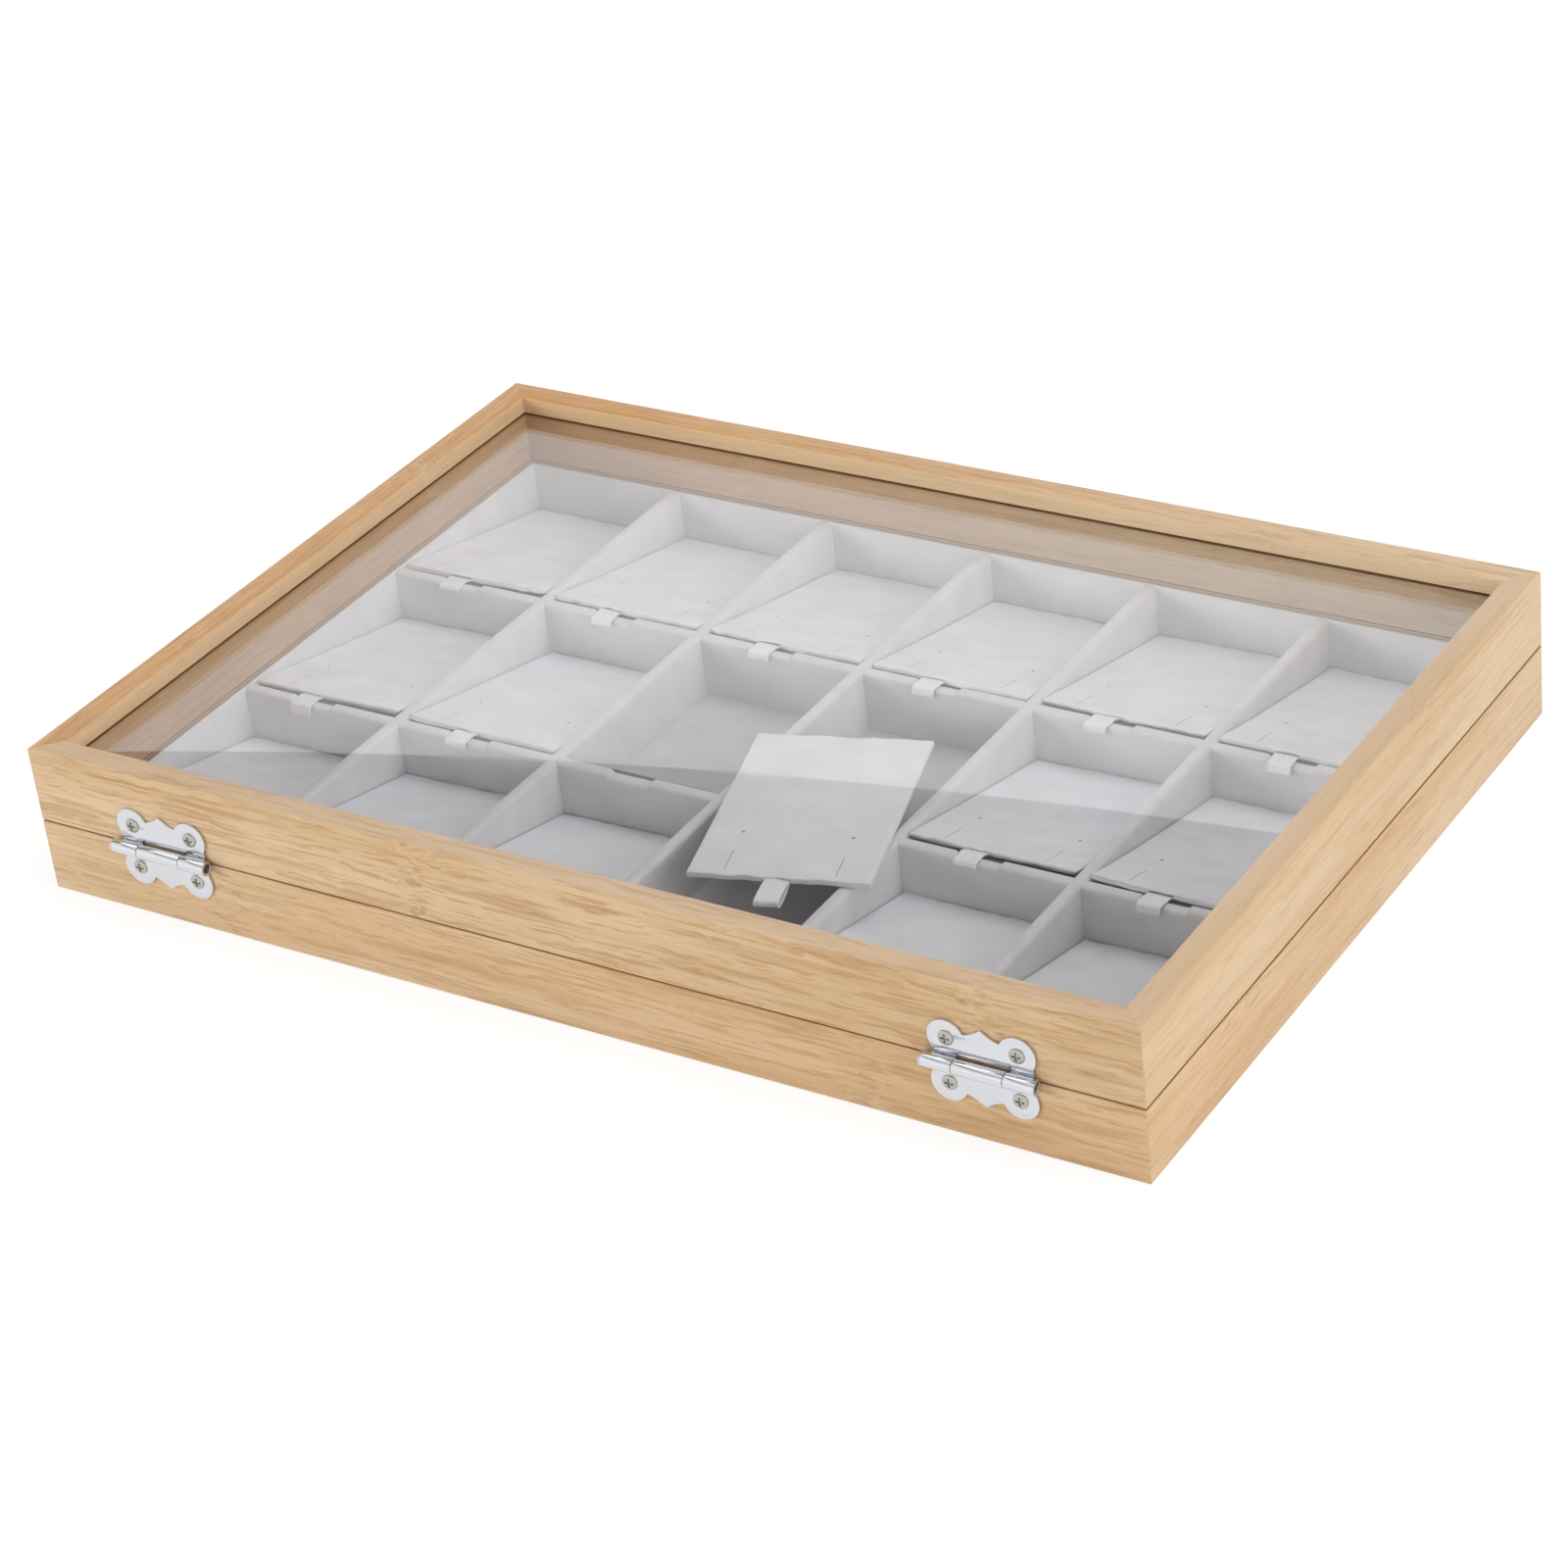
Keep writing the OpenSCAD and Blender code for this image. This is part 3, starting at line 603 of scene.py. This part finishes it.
class DISPLAYTRAY_OT_panels(bpy.types.Operator):
    """Finishes the board under the case and the glass pane in the lid"""
    bl_idname = "displaytray.panels"
    bl_label = "Bottom board and glass"

    def execute(self, context):
        finish_node("base_panel", fibreboard("pressed hardboard", context.scene.tray_case.board))
        finish_node("glass_pane", float_glass())
        return {"FINISHED"}


class DISPLAYTRAY_OT_hinges(bpy.types.Operator):
    """Builds the two butterfly hinges with their pins and screws"""
    bl_idname = "displaytray.hinges"
    bl_label = "Hinges and screws"

    def execute(self, context):
        hinge = context.scene.tray_hinges
        plating = plated_steel("chrome-plated steel", hinge.plating, 0.05)
        screw_plating = plated_steel("nickel-plated screw steel", hinge.screw, 0.22)
        pin_end_shade = plated_steel("bare cut steel", hinge.pin_end_shade, 0.4)
        for node in [n for n in NODES if "_hinge_" in n]:
            is_screw = node.endswith("screws")
            bm = whole_faces(node)
            round_off(bm, sharp_edges(bm), hinge.screw_edge if is_screw else hinge.edge, 2)
            piece = finish_mesh(bm, "plated_" + node, node, screw_plating if is_screw else plating)
            # The +X end of each pin is painted dark: shade in the barrel's hollow end
            if node.endswith("pin"):
                piece.data.materials.append(pin_end_shade)
                end = max(v.co.x for v in piece.data.vertices)
                for face in piece.data.polygons:
                    face.material_index = int(face.center.x > end - 2 * hinge.edge)
        return {"FINISHED"}


def notch_dip(x, notches, slope):
    """How far the top of a row divider dips at x, as a share of a notch's depth."""
    dip = 0.0
    for start, end in notches:
        inside = min((x - start) / slope, (end - x) / slope) + 0.5
        inside = max(0.0, min(1.0, inside))
        dip = max(dip, inside * inside * (3 - 2 * inside))
    return dip


def add_board(bm, low, high, radius, axis):
    """A board whose two long top edges, along an axis, are rounded by the velvet over them."""
    made = bmesh.ops.create_cube(bm, size=1)["verts"]
    bmesh.ops.scale(bm, vec=high - low, verts=made)
    bmesh.ops.translate(bm, vec=(low + high) / 2, verts=made)
    across = 1 - axis
    tops = [e for e in bm.edges if all(v in made and v.co.z > high.z - WELD for v in e.verts)
            and abs(e.verts[0].co[across] - e.verts[1].co[across]) < WELD]
    round_off(bm, tops, radius, 4)


class DISPLAYTRAY_OT_tray(bpy.types.Operator):
    """Builds the velvet tray: floor, outer walls, rests and dividers"""
    bl_idname = "displaytray.tray"
    bl_label = "Velvet tray"

    def execute(self, context):
        tray = context.scene.tray_velvet
        cloth = velvet("grey display velvet on board", tray.velvet, (0, 0, 0))
        # The floor's darker velvet is painted shade at the bottom of the compartments
        finish_node("tray_floor", velvet("grey display velvet on the floor", tray.floor, (2, 4, 6)))
        self.rim(tray, cloth)
        self.rests(tray)
        for number in range(1, ROWS):
            self.row_divider(number, tray, cloth)
        for number in range(1, COLUMNS):
            self.column_divider(number, tray, cloth)
        return {"FINISHED"}

    def rim(self, tray, cloth):
        """The four outer walls, mitred."""
        low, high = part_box("tray_rim")
        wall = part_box("row_divider_1")[0].x - low.x
        bm = bmesh.new()
        for side, turn in SIDES.items():
            out, span = (low.x, 2 * high.y) if side in ("left", "right") else (low.y, 2 * high.x)
            section = [(out, low.z, 0), (out + wall, low.z, 0),
                       (out + wall, high.z, tray.rim_edge), (out, high.z, tray.rim_edge)]
            add_rail(bm, section, span, turn)
        finish_mesh(bm, "velvet_tray_rim", "tray_rim", cloth)

    def rests(self, tray):
        """The strips that carry the high edges of the cards. Their felt is dark, as painted shade in the
        gap under each high edge.
        """
        bm = whole_faces("card_rests")
        round_off(bm, sharp_edges(bm), tray.rest_edge, 2)
        # Dark felt: painted shade under the cards' high edges
        shade_felt = velvet("grey felt on strips", tray.shade_felt, (3, 5, 7))
        finish_mesh(bm, "velvet_card_rests", "card_rests", shade_felt)

    def row_divider(self, number, tray, cloth):
        """A divider along the case, with a notch for the ribbon of each card."""
        node = f"row_divider_{number}"
        low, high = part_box(node)
        notches = []
        for column in range(1, COLUMNS + 1):
            ribbon_low, ribbon_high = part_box(f"ribbon_r{ROWS}c{column}")
            notches.append((ribbon_low.x - tray.notch_left, ribbon_high.x + tray.notch_right))
        bm = bmesh.new()
        add_board(bm, low, high, tray.edge, 0)
        half = tray.notch_slope / 2
        places = [p for n in notches for end in n for p in steps(end - half, end + half, 6)]
        cut_across(bm, 0, places)
        soft_top = high.z - tray.edge - WELD
        for vert in bm.verts:
            if vert.co.z > soft_top:
                vert.co.z -= tray.notch_depth * notch_dip(vert.co.x, notches, tray.notch_slope)
        finish_mesh(bm, "velvet_" + node, node, cloth)

    def column_divider(self, number, tray, cloth):
        """A divider across the case, in stretches that end in the row dividers."""
        node = f"column_divider_{number}"
        low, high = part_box(node)
        stops = [low.y]
        for row in range(1, ROWS):
            row_low, row_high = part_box(f"row_divider_{row}")
            stops += [row_low.y + tray.bite, row_high.y - tray.bite]
        stops.append(high.y)
        bm = bmesh.new()
        for start, end in zip(stops[0::2], stops[1::2]):
            add_board(bm, Vector((low.x, start, low.z)), Vector((high.x, end, high.z)), tray.edge, 1)
        finish_mesh(bm, "velvet_" + node, node, cloth)


def card_place(bm):
    """The card's own frame: x across, y from the high edge, z up through it, from its lower face."""
    top = max(bm.faces, key=lambda f: f.calc_area())
    up = top.normal if top.normal.z > 0 else -top.normal
    side = max(sharp_edges(bm, 60), key=lambda e: e.calc_length())
    along = (side.verts[1].co - side.verts[0].co).normalized()
    along = along if along.y > 0 else -along
    turn = Matrix((along.cross(up), along, up)).transposed()
    local = [turn.inverted() @ v.co for v in bm.verts]
    xs, ys, zs = zip(*local)
    corner = Vector(((min(xs) + max(xs)) / 2, min(ys), min(zs)))
    return Matrix.Translation(turn @ corner) @ turn.to_4x4()


def card_nodes():
    """The nodes of all the cards."""
    return sorted(n for n in NODES if n.startswith("card_r") and n != "card_rests") + ["loose_card"]


# Two cards whose bend shows: the low corners' and the high corners' lifts and the crown, in mm
KNOWN_BENDS = {"card_r3c1": ((0.9, 0.6), (0.2, 1.3), 0.3), "loose_card": ((0.4, 0.9), (0, 0), 0.3)}


def card_bend(name, cards):
    """How a card is bent: the lift of its low and of its high corners, and its crown."""
    if name in KNOWN_BENDS:
        low, high, crown = KNOWN_BENDS[name]
        return [lift * MM for lift in low], [lift * MM for lift in high], crown * MM
    dice = random.Random(f"{cards.seed}{name}")
    low = dice.uniform(0, 0.7) * cards.lift, dice.uniform(0.1, 1) * cards.lift
    high = dice.uniform(0, 0.6) * cards.high_lift, dice.uniform(0, 1) ** 2 * cards.high_lift
    return low, high, dice.uniform(0.2, 1) * cards.crown


def bend_card(point, width, depth, bend):
    """How far a point of a flat card, in the card's own frame, is lifted on the bent card."""
    low, high, crown = bend
    across = point.x / width + 0.5
    along = max(0.0, min(1.0, point.y / depth))
    low_edge = (low[0] + (low[1] - low[0]) * across) * along ** 2
    high_edge = (high[0] * (1 - across) ** 2 + high[1] * across ** 2) * (1 - along) ** 5
    bulge = crown * 4 * across * (1 - across) * math.sin(math.pi * along)
    return low_edge + high_edge + bulge


class DISPLAYTRAY_OT_cards(bpy.types.Operator):
    """Builds the sloped velvet cards and the loose one"""
    bl_idname = "displaytray.cards"
    bl_label = "Cards"

    def execute(self, context):
        cards = context.scene.tray_cards
        for number, node in enumerate(card_nodes()):
            bm = whole_faces(node)
            place = card_place(bm)
            bmesh.ops.transform(bm, matrix=place.inverted(), verts=bm.verts)
            width = 2 * max(v.co.x for v in bm.verts)
            depth = max(v.co.y for v in bm.verts)
            slits = self.slit_place(bm, width)
            round_off(bm, self.outline(bm, width, False), cards.taper, 1)
            round_off(bm, self.outline(bm, width, True), cards.edge, 3)
            cut_across(bm, 0, steps(-width / 2, width / 2, round(width / cards.cut))[1:-1])
            cut_across(bm, 1, steps(0, depth, round(depth / cards.cut))[1:-1])
            bend = card_bend(node, cards)
            for vert in bm.verts:
                self.close_slit(vert, slits, cards)
                self.roughen(vert, depth, cards, number)
                vert.co.z += bend_card(vert.co, width, depth, bend)
            bmesh.ops.transform(bm, matrix=place, verts=bm.verts)
            # No two cards show the same patches
            shift = (number * 1.9, number * 3.1, number * 2.3)
            cloth = velvet(f"grey display velvet on card {number + 1}", cards.velvet, shift)
            finish_mesh(bm, "velvet_" + node, node, cloth)
        return {"FINISHED"}

    def slit_place(self, bm, width):
        """How far the two slits near the high edge are from the card's middle, 0 without slits."""
        near, far = 1 * MM, 5 * MM
        sides = [abs(v.co.x) for v in bm.verts if near < v.co.y < far and abs(v.co.x) < width / 2 - near]
        return (min(sides) + max(sides)) / 2 if sides else 0

    def outline(self, bm, width, upper):
        """The edges round the upper or the lower face of a card."""
        level = max(v.co.z for v in bm.verts) if upper else 0
        slack = 10 * WELD
        rim = {v for v in bm.verts if abs(v.co.x) > width / 2 - slack and abs(v.co.z - level) < slack}
        return [e for e in bm.edges if set(e.verts) <= rim]

    def close_slit(self, vert, slits, cards):
        """Draws the two sides of a slit together, as its pile does."""
        middle = math.copysign(slits, vert.co.x)
        half_slit = 0.5 * MM
        if abs(vert.co.x - middle) < half_slit:
            vert.co.x = middle + (vert.co.x - middle) * (1 - cards.closing)

    def roughen(self, vert, depth, cards, number):
        """Makes the high and the low edge uneven, where the velvet is cut and wrapped round."""
        fold = 2.2 * MM
        if max(-vert.co.y, vert.co.y - depth) + 2 * cards.edge > 0:
            spot = Vector((vert.co.x, vert.co.y, number * 3 * MM)) / fold
            vert.co.y += noise.noise(spot) * cards.ragged
            vert.co.z += noise.noise(spot + Vector((9.1, 4.7, 2.3))) * cards.ragged / 2


def card_slope(place):
    """How steeply a card slopes down from its high edge."""
    along = place.col[1]
    return math.atan2(-along.z, math.hypot(along.x, along.y))


def arc(centre, radius, start, end, count):
    """Points (y, z) on an arc between two angles in degrees."""
    angles = [math.radians(a) for a in steps(start, end, count)]
    return [(centre[0] + radius * math.cos(a), centre[1] + radius * math.sin(a)) for a in angles]


def add_ribbon(bm, path, width, skew, thickness):
    """A doubled ribbon: a path of (y, z) points, drawn out across its width and thickened. Its
    free end is turned aside by skew."""
    strips, free = 6, 3 * MM
    # The height of the wave across a ribbon, and the radians that it runs through there
    wave, reach = 0.1 * MM, 5
    verts = [bm.verts.new((-width / 2, y, z)) for y, z in path]
    edges = [bm.edges.new(pair) for pair in zip(verts, verts[1:])]
    for _ in range(strips):
        grown = bmesh.ops.extrude_edge_only(bm, edges=edges)["geom"]
        edges = [g for g in grown if isinstance(g, bmesh.types.BMEdge)
                 and abs(g.verts[0].co.x - g.verts[1].co.x) < WELD]
        far = [g for g in grown if isinstance(g, bmesh.types.BMVert)]
        bmesh.ops.translate(bm, vec=(width / strips, 0, 0), verts=far)
    for vert in bm.verts:
        out = max(0.0, -vert.co.y)
        vert.co.z += wave * math.sin(vert.co.x / width * reach) * min(1, out / free)
        vert.co.x -= skew * out
    bmesh.ops.recalc_face_normals(bm, faces=bm.faces)
    bmesh.ops.solidify(bm, geom=bm.faces[:], thickness=thickness)


class DISPLAYTRAY_OT_ribbons(bpy.types.Operator):
    """Builds the doubled satin ribbons of the cards"""
    bl_idname = "displaytray.ribbons"
    bl_label = "Ribbons"

    # Heights of a ribbon's two layers in its card, and how far they are tucked in
    upper = 1.25 * MM
    lower = 0.75 * MM
    tuck = 8 * MM

    def execute(self, context):
        ribbons = context.scene.tray_ribbons
        straight = satin(0)
        dice = random.Random(ribbons.seed)
        for card in card_nodes():
            node = card.replace("card", "ribbon")
            source = whole_faces(card)
            place = card_place(source)
            source.free()
            bm = bmesh.new()
            if card == "loose_card":
                add_ribbon(bm, self.loose_path(), ribbons.loose_width, 0.1, ribbons.thickness)
                bmesh.ops.transform(bm, matrix=place, verts=bm.verts)
                turn = math.atan2(-place.col[1].x, place.col[1].y)
                finish_mesh(bm, "satin_" + node, node, satin(turn))
                continue
            skew = dice.uniform(-0.1, 0.14)
            over = ribbons.over + dice.uniform(0, 0.4) * MM
            hang = dice.uniform(0.2, 1) * ribbons.hang
            if "_r1" in card:
                path = self.back_path(place)
            else:
                path = self.notch_path(place, over, hang, dice.uniform(50, 85))
            low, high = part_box(node)
            add_ribbon(bm, path, high.x - low.x, skew, ribbons.thickness)
            middle = Vector(((low.x + high.x) / 2, place.translation.y, place.translation.z))
            bmesh.ops.translate(bm, vec=middle, verts=bm.verts)
            finish_mesh(bm, "satin_" + node, node, straight)
        return {"FINISHED"}

    def mouth(self, place, height):
        """A point in a card at a height over its lower face, and where that height meets its edge."""
        slope = card_slope(place)
        out = Vector((height * math.sin(slope), height * math.cos(slope)))
        inside = out + self.tuck * Vector((math.cos(slope), -math.sin(slope)))
        return tuple(inside), tuple(out)

    def notch_path(self, place, over, hang, turn):
        """Rows 2 and 3: out over the notch of the divider, down past it, round and back."""
        inside_top, out_top = self.mouth(place, self.upper)
        inside_low, out_low = self.mouth(place, self.lower)
        top, low, near = 1.72 * MM, 1.3 * MM, -1.4 * MM
        outer = 1.3 * MM
        inner = outer - (top - low)
        centre = (-over, top - outer)
        last = 90 + turn
        down = Vector((-math.sin(math.radians(last)), math.cos(math.radians(last)))) * hang
        tip = Vector(arc(centre, (outer + inner) / 2, last, last, 1)[0]) + down
        fold = arc(tip, (outer - inner) / 2, last, last + 180, 6)
        return ([inside_top, out_top, (near, top)] + arc(centre, outer, 90, last, 5) + fold
                + arc(centre, inner, last, 90, 5) + [(near, low), out_low, inside_low])

    def back_path(self, place):
        """Row 1: up in front of the case, folded back over the card, and back down again."""
        inside_top, out_top = self.mouth(place, self.upper)
        inside_low, out_low = self.mouth(place, self.lower)
        slope = card_slope(place)
        along = Vector((math.cos(slope), -math.sin(slope)))
        up = Vector((math.sin(slope), math.cos(slope)))
        middle = Vector((0.45 * MM, 2.9 * MM))
        outer, inner, reach = 0.95 * MM, 0.5 * MM, 5.2 * MM
        last = 90 - math.degrees(slope)
        tip = middle + reach * along + (outer + inner) / 2 * up
        fold = arc(tip, (outer - inner) / 2, last, last - 180, 4)
        over = arc(middle, outer, 180, last, 6)
        under = arc(middle, inner, last, 180, 6)
        return [inside_low, out_low, (middle.x - outer, 1.6 * MM)] + over + fold + under + [
            (middle.x - inner, 1.9 * MM), out_top, inside_top]

    def loose_path(self):
        """The loose card's ribbon, in its card's frame: a flat loop that droops from the edge."""
        tuck, low = self.tuck / MM, self.lower / MM
        top = [(tuck, 1.3), (0, 1.3), (-3, 1.35), (-6, 0.95)]
        fold = arc((-8.4, -0.75), 1.15, 90, 270, 6)
        under = [(-6, -1.75), (-3, -0.9), (-0.6, 0.45), (0, low), (tuck, low)]
        return [(y * MM, z * MM) for y, z in top + fold + under]


class DISPLAYTRAY_OT_stage(bpy.types.Operator):
    """Builds the pale floor, the lights and the camera"""
    bl_idname = "displaytray.stage"
    bl_label = "Stage"

    # Where each soft lamp stands and how tall it is, and the width of all of them
    lamps = {"front": ((-1.0, -1.3, 0.42), 0.5), "side": ((1.6, -0.35, 0.6), 0.9),
             "top": ((0.3, 0.25, 1.5), 0.9)}
    lamp_width = 1.3
    # Heights in the room are upward shares of a direction, 0 level and 1 straight up. The walls'
    # tilt makes their upper border cross the pane as in the photograph
    wall_tilt = (-0.139, -0.105, 1)
    wall_top, wall_foot = 0.509, 0.45
    bright_strip = (0.7, 0.97)
    dark_strip = (0.66, 0.76)
    dim_light = (0.3, 0.95)
    # Where the far walls turn into the near ones, as the +Y share of a direction
    far_end, near_end = -0.05, -0.2
    # How bright the foot of the walls and the strip are, where the top of the walls is 1
    foot_level, strip_level = 1.2, 0.8

    def execute(self, context):
        stage = context.scene.tray_stage
        self.floor(stage)
        self.world(stage)
        for name, (place, tall) in self.lamps.items():
            self.lamp(name + " softbox", getattr(stage, name), place, tall)
        self.camera(stage)
        context.scene.view_settings.view_transform = "Standard"
        return {"FINISHED"}

    def floor(self, stage):
        """A white sweep. What is seen of it is lifted to white, and it keeps the soft shadow."""
        material, tree = new_material("matt white paper")[:2]
        paper = add_node(tree, "BsdfDiffuse", {"Color": (0.8, 0.8, 0.8)})
        dim = add_node(tree, "BsdfDiffuse", {"Color": (0.3, 0.3, 0.3)})
        lift = add_node(tree, "Emission", {"Color": (1, 1, 1), "Strength": 0.78})
        white = add_node(tree, "AddShader", [dim, lift])
        mixed = add_node(tree, "MixShader", [seen_directly(tree), paper, white])
        add_node(tree, "OutputMaterial", {"Surface": mixed})
        bm = bmesh.new()
        bmesh.ops.create_grid(bm, x_segments=1, y_segments=1, size=stage.floor / 2)
        hair = 0.05 * MM
        bmesh.ops.translate(bm, vec=(0, 0, -hair), verts=bm.verts)
        mesh = keep_mesh(bm, "floor")
        mesh.materials.append(material)
        put_in_scene("floor", mesh)

    def world(self, stage):
        """A pale room that the pane and the hinges mirror, and an even light for matt surfaces."""
        world = bpy.data.worlds.new("pale room")
        bpy.context.scene.world = world
        world.use_nodes = True
        tree = world.node_tree
        tree.nodes.clear()
        direction = add_node(tree, "TexCoord").outputs["Generated"]
        parts = add_node(tree, "SeparateXYZ", [direction]).outputs
        matt = self.matt_light(tree, stage, parts["Y"], parts["Z"])
        room = self.mirrored_room(tree, stage, direction, parts["Y"], parts["Z"])
        level = add_node(tree, "Mix", [seen_directly(tree), matt, room], data_type="FLOAT")
        light = add_node(tree, "Background", {"Color": (1, 1, 1), "Strength": level})
        add_node(tree, "OutputWorld", {"Surface": light})

    def mirrored_room(self, tree, stage, direction, far, up):
        """Pale walls all round, and over the far ones a dim ceiling from about 30 degrees up. The
        pane mirrors both, and their border crosses it. A bright strip in that ceiling and a dark
        one over the near walls give the hinges their streaks."""
        height = add_node(tree, "VectorMath", [direction, self.wall_tilt], operation="DOT_PRODUCT")
        soft = 0.0003
        above = add_node(tree, "MapRange", [height, self.wall_top - soft, self.wall_top + soft])
        strip = self.band(tree, up, *self.bright_strip)
        dark_far = add_node(tree, "Math", [above, strip], operation="SUBTRACT")
        dark_near = self.band(tree, up, *self.dark_strip)
        over_far = add_node(tree, "MapRange", [far, self.near_end, self.far_end])
        dim = add_node(tree, "Mix", [over_far, dark_near, dark_far], data_type="FLOAT")
        # Lower down the walls are a little brighter, and so is the veil over the far compartments
        foot = (self.wall_top, self.wall_foot, 1, self.foot_level)
        walls = add_node(tree, "MapRange", [height, *foot])
        ceiling = add_node(tree, "MapRange", [dim, 0, 1, walls, stage.ceiling])
        lit_strip = add_node(tree, "Math", [strip, over_far], operation="MULTIPLY")
        return add_node(tree, "Math", [lit_strip, self.strip_level, ceiling], operation="MULTIPLY_ADD")

    def matt_light(self, tree, stage, far, up):
        """The light on matt surfaces. Less of it comes from over the near walls, so the near
        compartments are dimmer."""
        over_near = add_node(tree, "MapRange", [far, self.far_end, self.near_end])
        dimmed = self.band(tree, up, *self.dim_light)
        share = add_node(tree, "Math", [over_near, dimmed], operation="MULTIPLY")
        return add_node(tree, "MapRange", [share, 0, 1, stage.sky, stage.sky / 2])

    def band(self, tree, value, low, high):
        """One between two heights, nothing outside, with soft borders."""
        soft = 0.03
        over = add_node(tree, "MapRange", [value, low - soft, low + soft])
        past = add_node(tree, "MapRange", [value, high - soft, high + soft])
        return add_node(tree, "Math", [over, past], operation="SUBTRACT")

    def lamp(self, name, power, place, tall):
        """A large soft lamp that faces the tray. Only the pale room is mirrored, not the lamp."""
        light = bpy.data.lights.new(name, "AREA")
        light.shape = "RECTANGLE"
        light.size = self.lamp_width
        light.size_y = tall
        light.energy = power
        softbox = put_in_scene(name, light)
        softbox.location = place
        softbox.rotation_euler = (-softbox.location).to_track_quat("-Z", "Y").to_euler()
        softbox.visible_glossy = False
        softbox.visible_transmission = False

    def camera(self, stage):
        """The photograph's own view, with its slight roll."""
        data = bpy.data.cameras.new("camera")
        data.sensor_width = 36
        data.lens = stage.lens
        data.clip_start = 0.05
        data.clip_end = 50
        place = (0.59279, -0.85569, 0.63326)
        right = Vector((0.848909, 0.518869, -0.100639))
        forward = Vector((-0.490388, 0.702196, -0.516179))
        turn = Matrix((right, right.cross(forward), -forward)).transposed()
        camera = put_in_scene("camera", data)
        camera.matrix_world = Matrix.Translation(place) @ turn.to_4x4()
        bpy.context.scene.camera = camera


class DISPLAYTRAY_PT_panel(bpy.types.Panel):
    """Lists the steps that build the tray"""
    bl_label = "Display tray"
    bl_idname = "DISPLAYTRAY_PT_panel"
    bl_space_type = "VIEW_3D"
    bl_region_type = "UI"
    bl_category = "Display Tray"

    def draw(self, context):
        for step in STEPS:
            self.layout.operator(step.bl_idname)
        for settings in SETTINGS:
            group = getattr(context.scene, settings)
            for name in group.__annotations__:
                self.layout.prop(group, name)


STEPS = (DISPLAYTRAY_OT_rails, DISPLAYTRAY_OT_panels, DISPLAYTRAY_OT_hinges, DISPLAYTRAY_OT_tray,
         DISPLAYTRAY_OT_cards, DISPLAYTRAY_OT_ribbons, DISPLAYTRAY_OT_stage)
SETTINGS = {
    "tray_case": CaseSettings, "tray_glass": GlassSettings, "tray_velvet": TraySettings,
    "tray_cards": CardSettings, "tray_ribbons": RibbonSettings, "tray_hinges": HingeSettings,
    "tray_stage": StageSettings,
}
CLASSES = (*SETTINGS.values(), *STEPS, DISPLAYTRAY_PT_panel)


def register():
    for cls in CLASSES:
        bpy.utils.register_class(cls)
    for name, group in SETTINGS.items():
        setattr(bpy.types.Scene, name, PointerProperty(type=group))


def unregister():
    for name in SETTINGS:
        delattr(bpy.types.Scene, name)
    for cls in reversed(CLASSES):
        bpy.utils.unregister_class(cls)


def main():
    register()
    bpy.ops.displaytray.rails()
    bpy.ops.displaytray.panels()
    bpy.ops.displaytray.hinges()
    bpy.ops.displaytray.tray()
    bpy.ops.displaytray.cards()
    bpy.ops.displaytray.ribbons()
    bpy.ops.displaytray.stage()


if __name__ == "__main__":
    main()
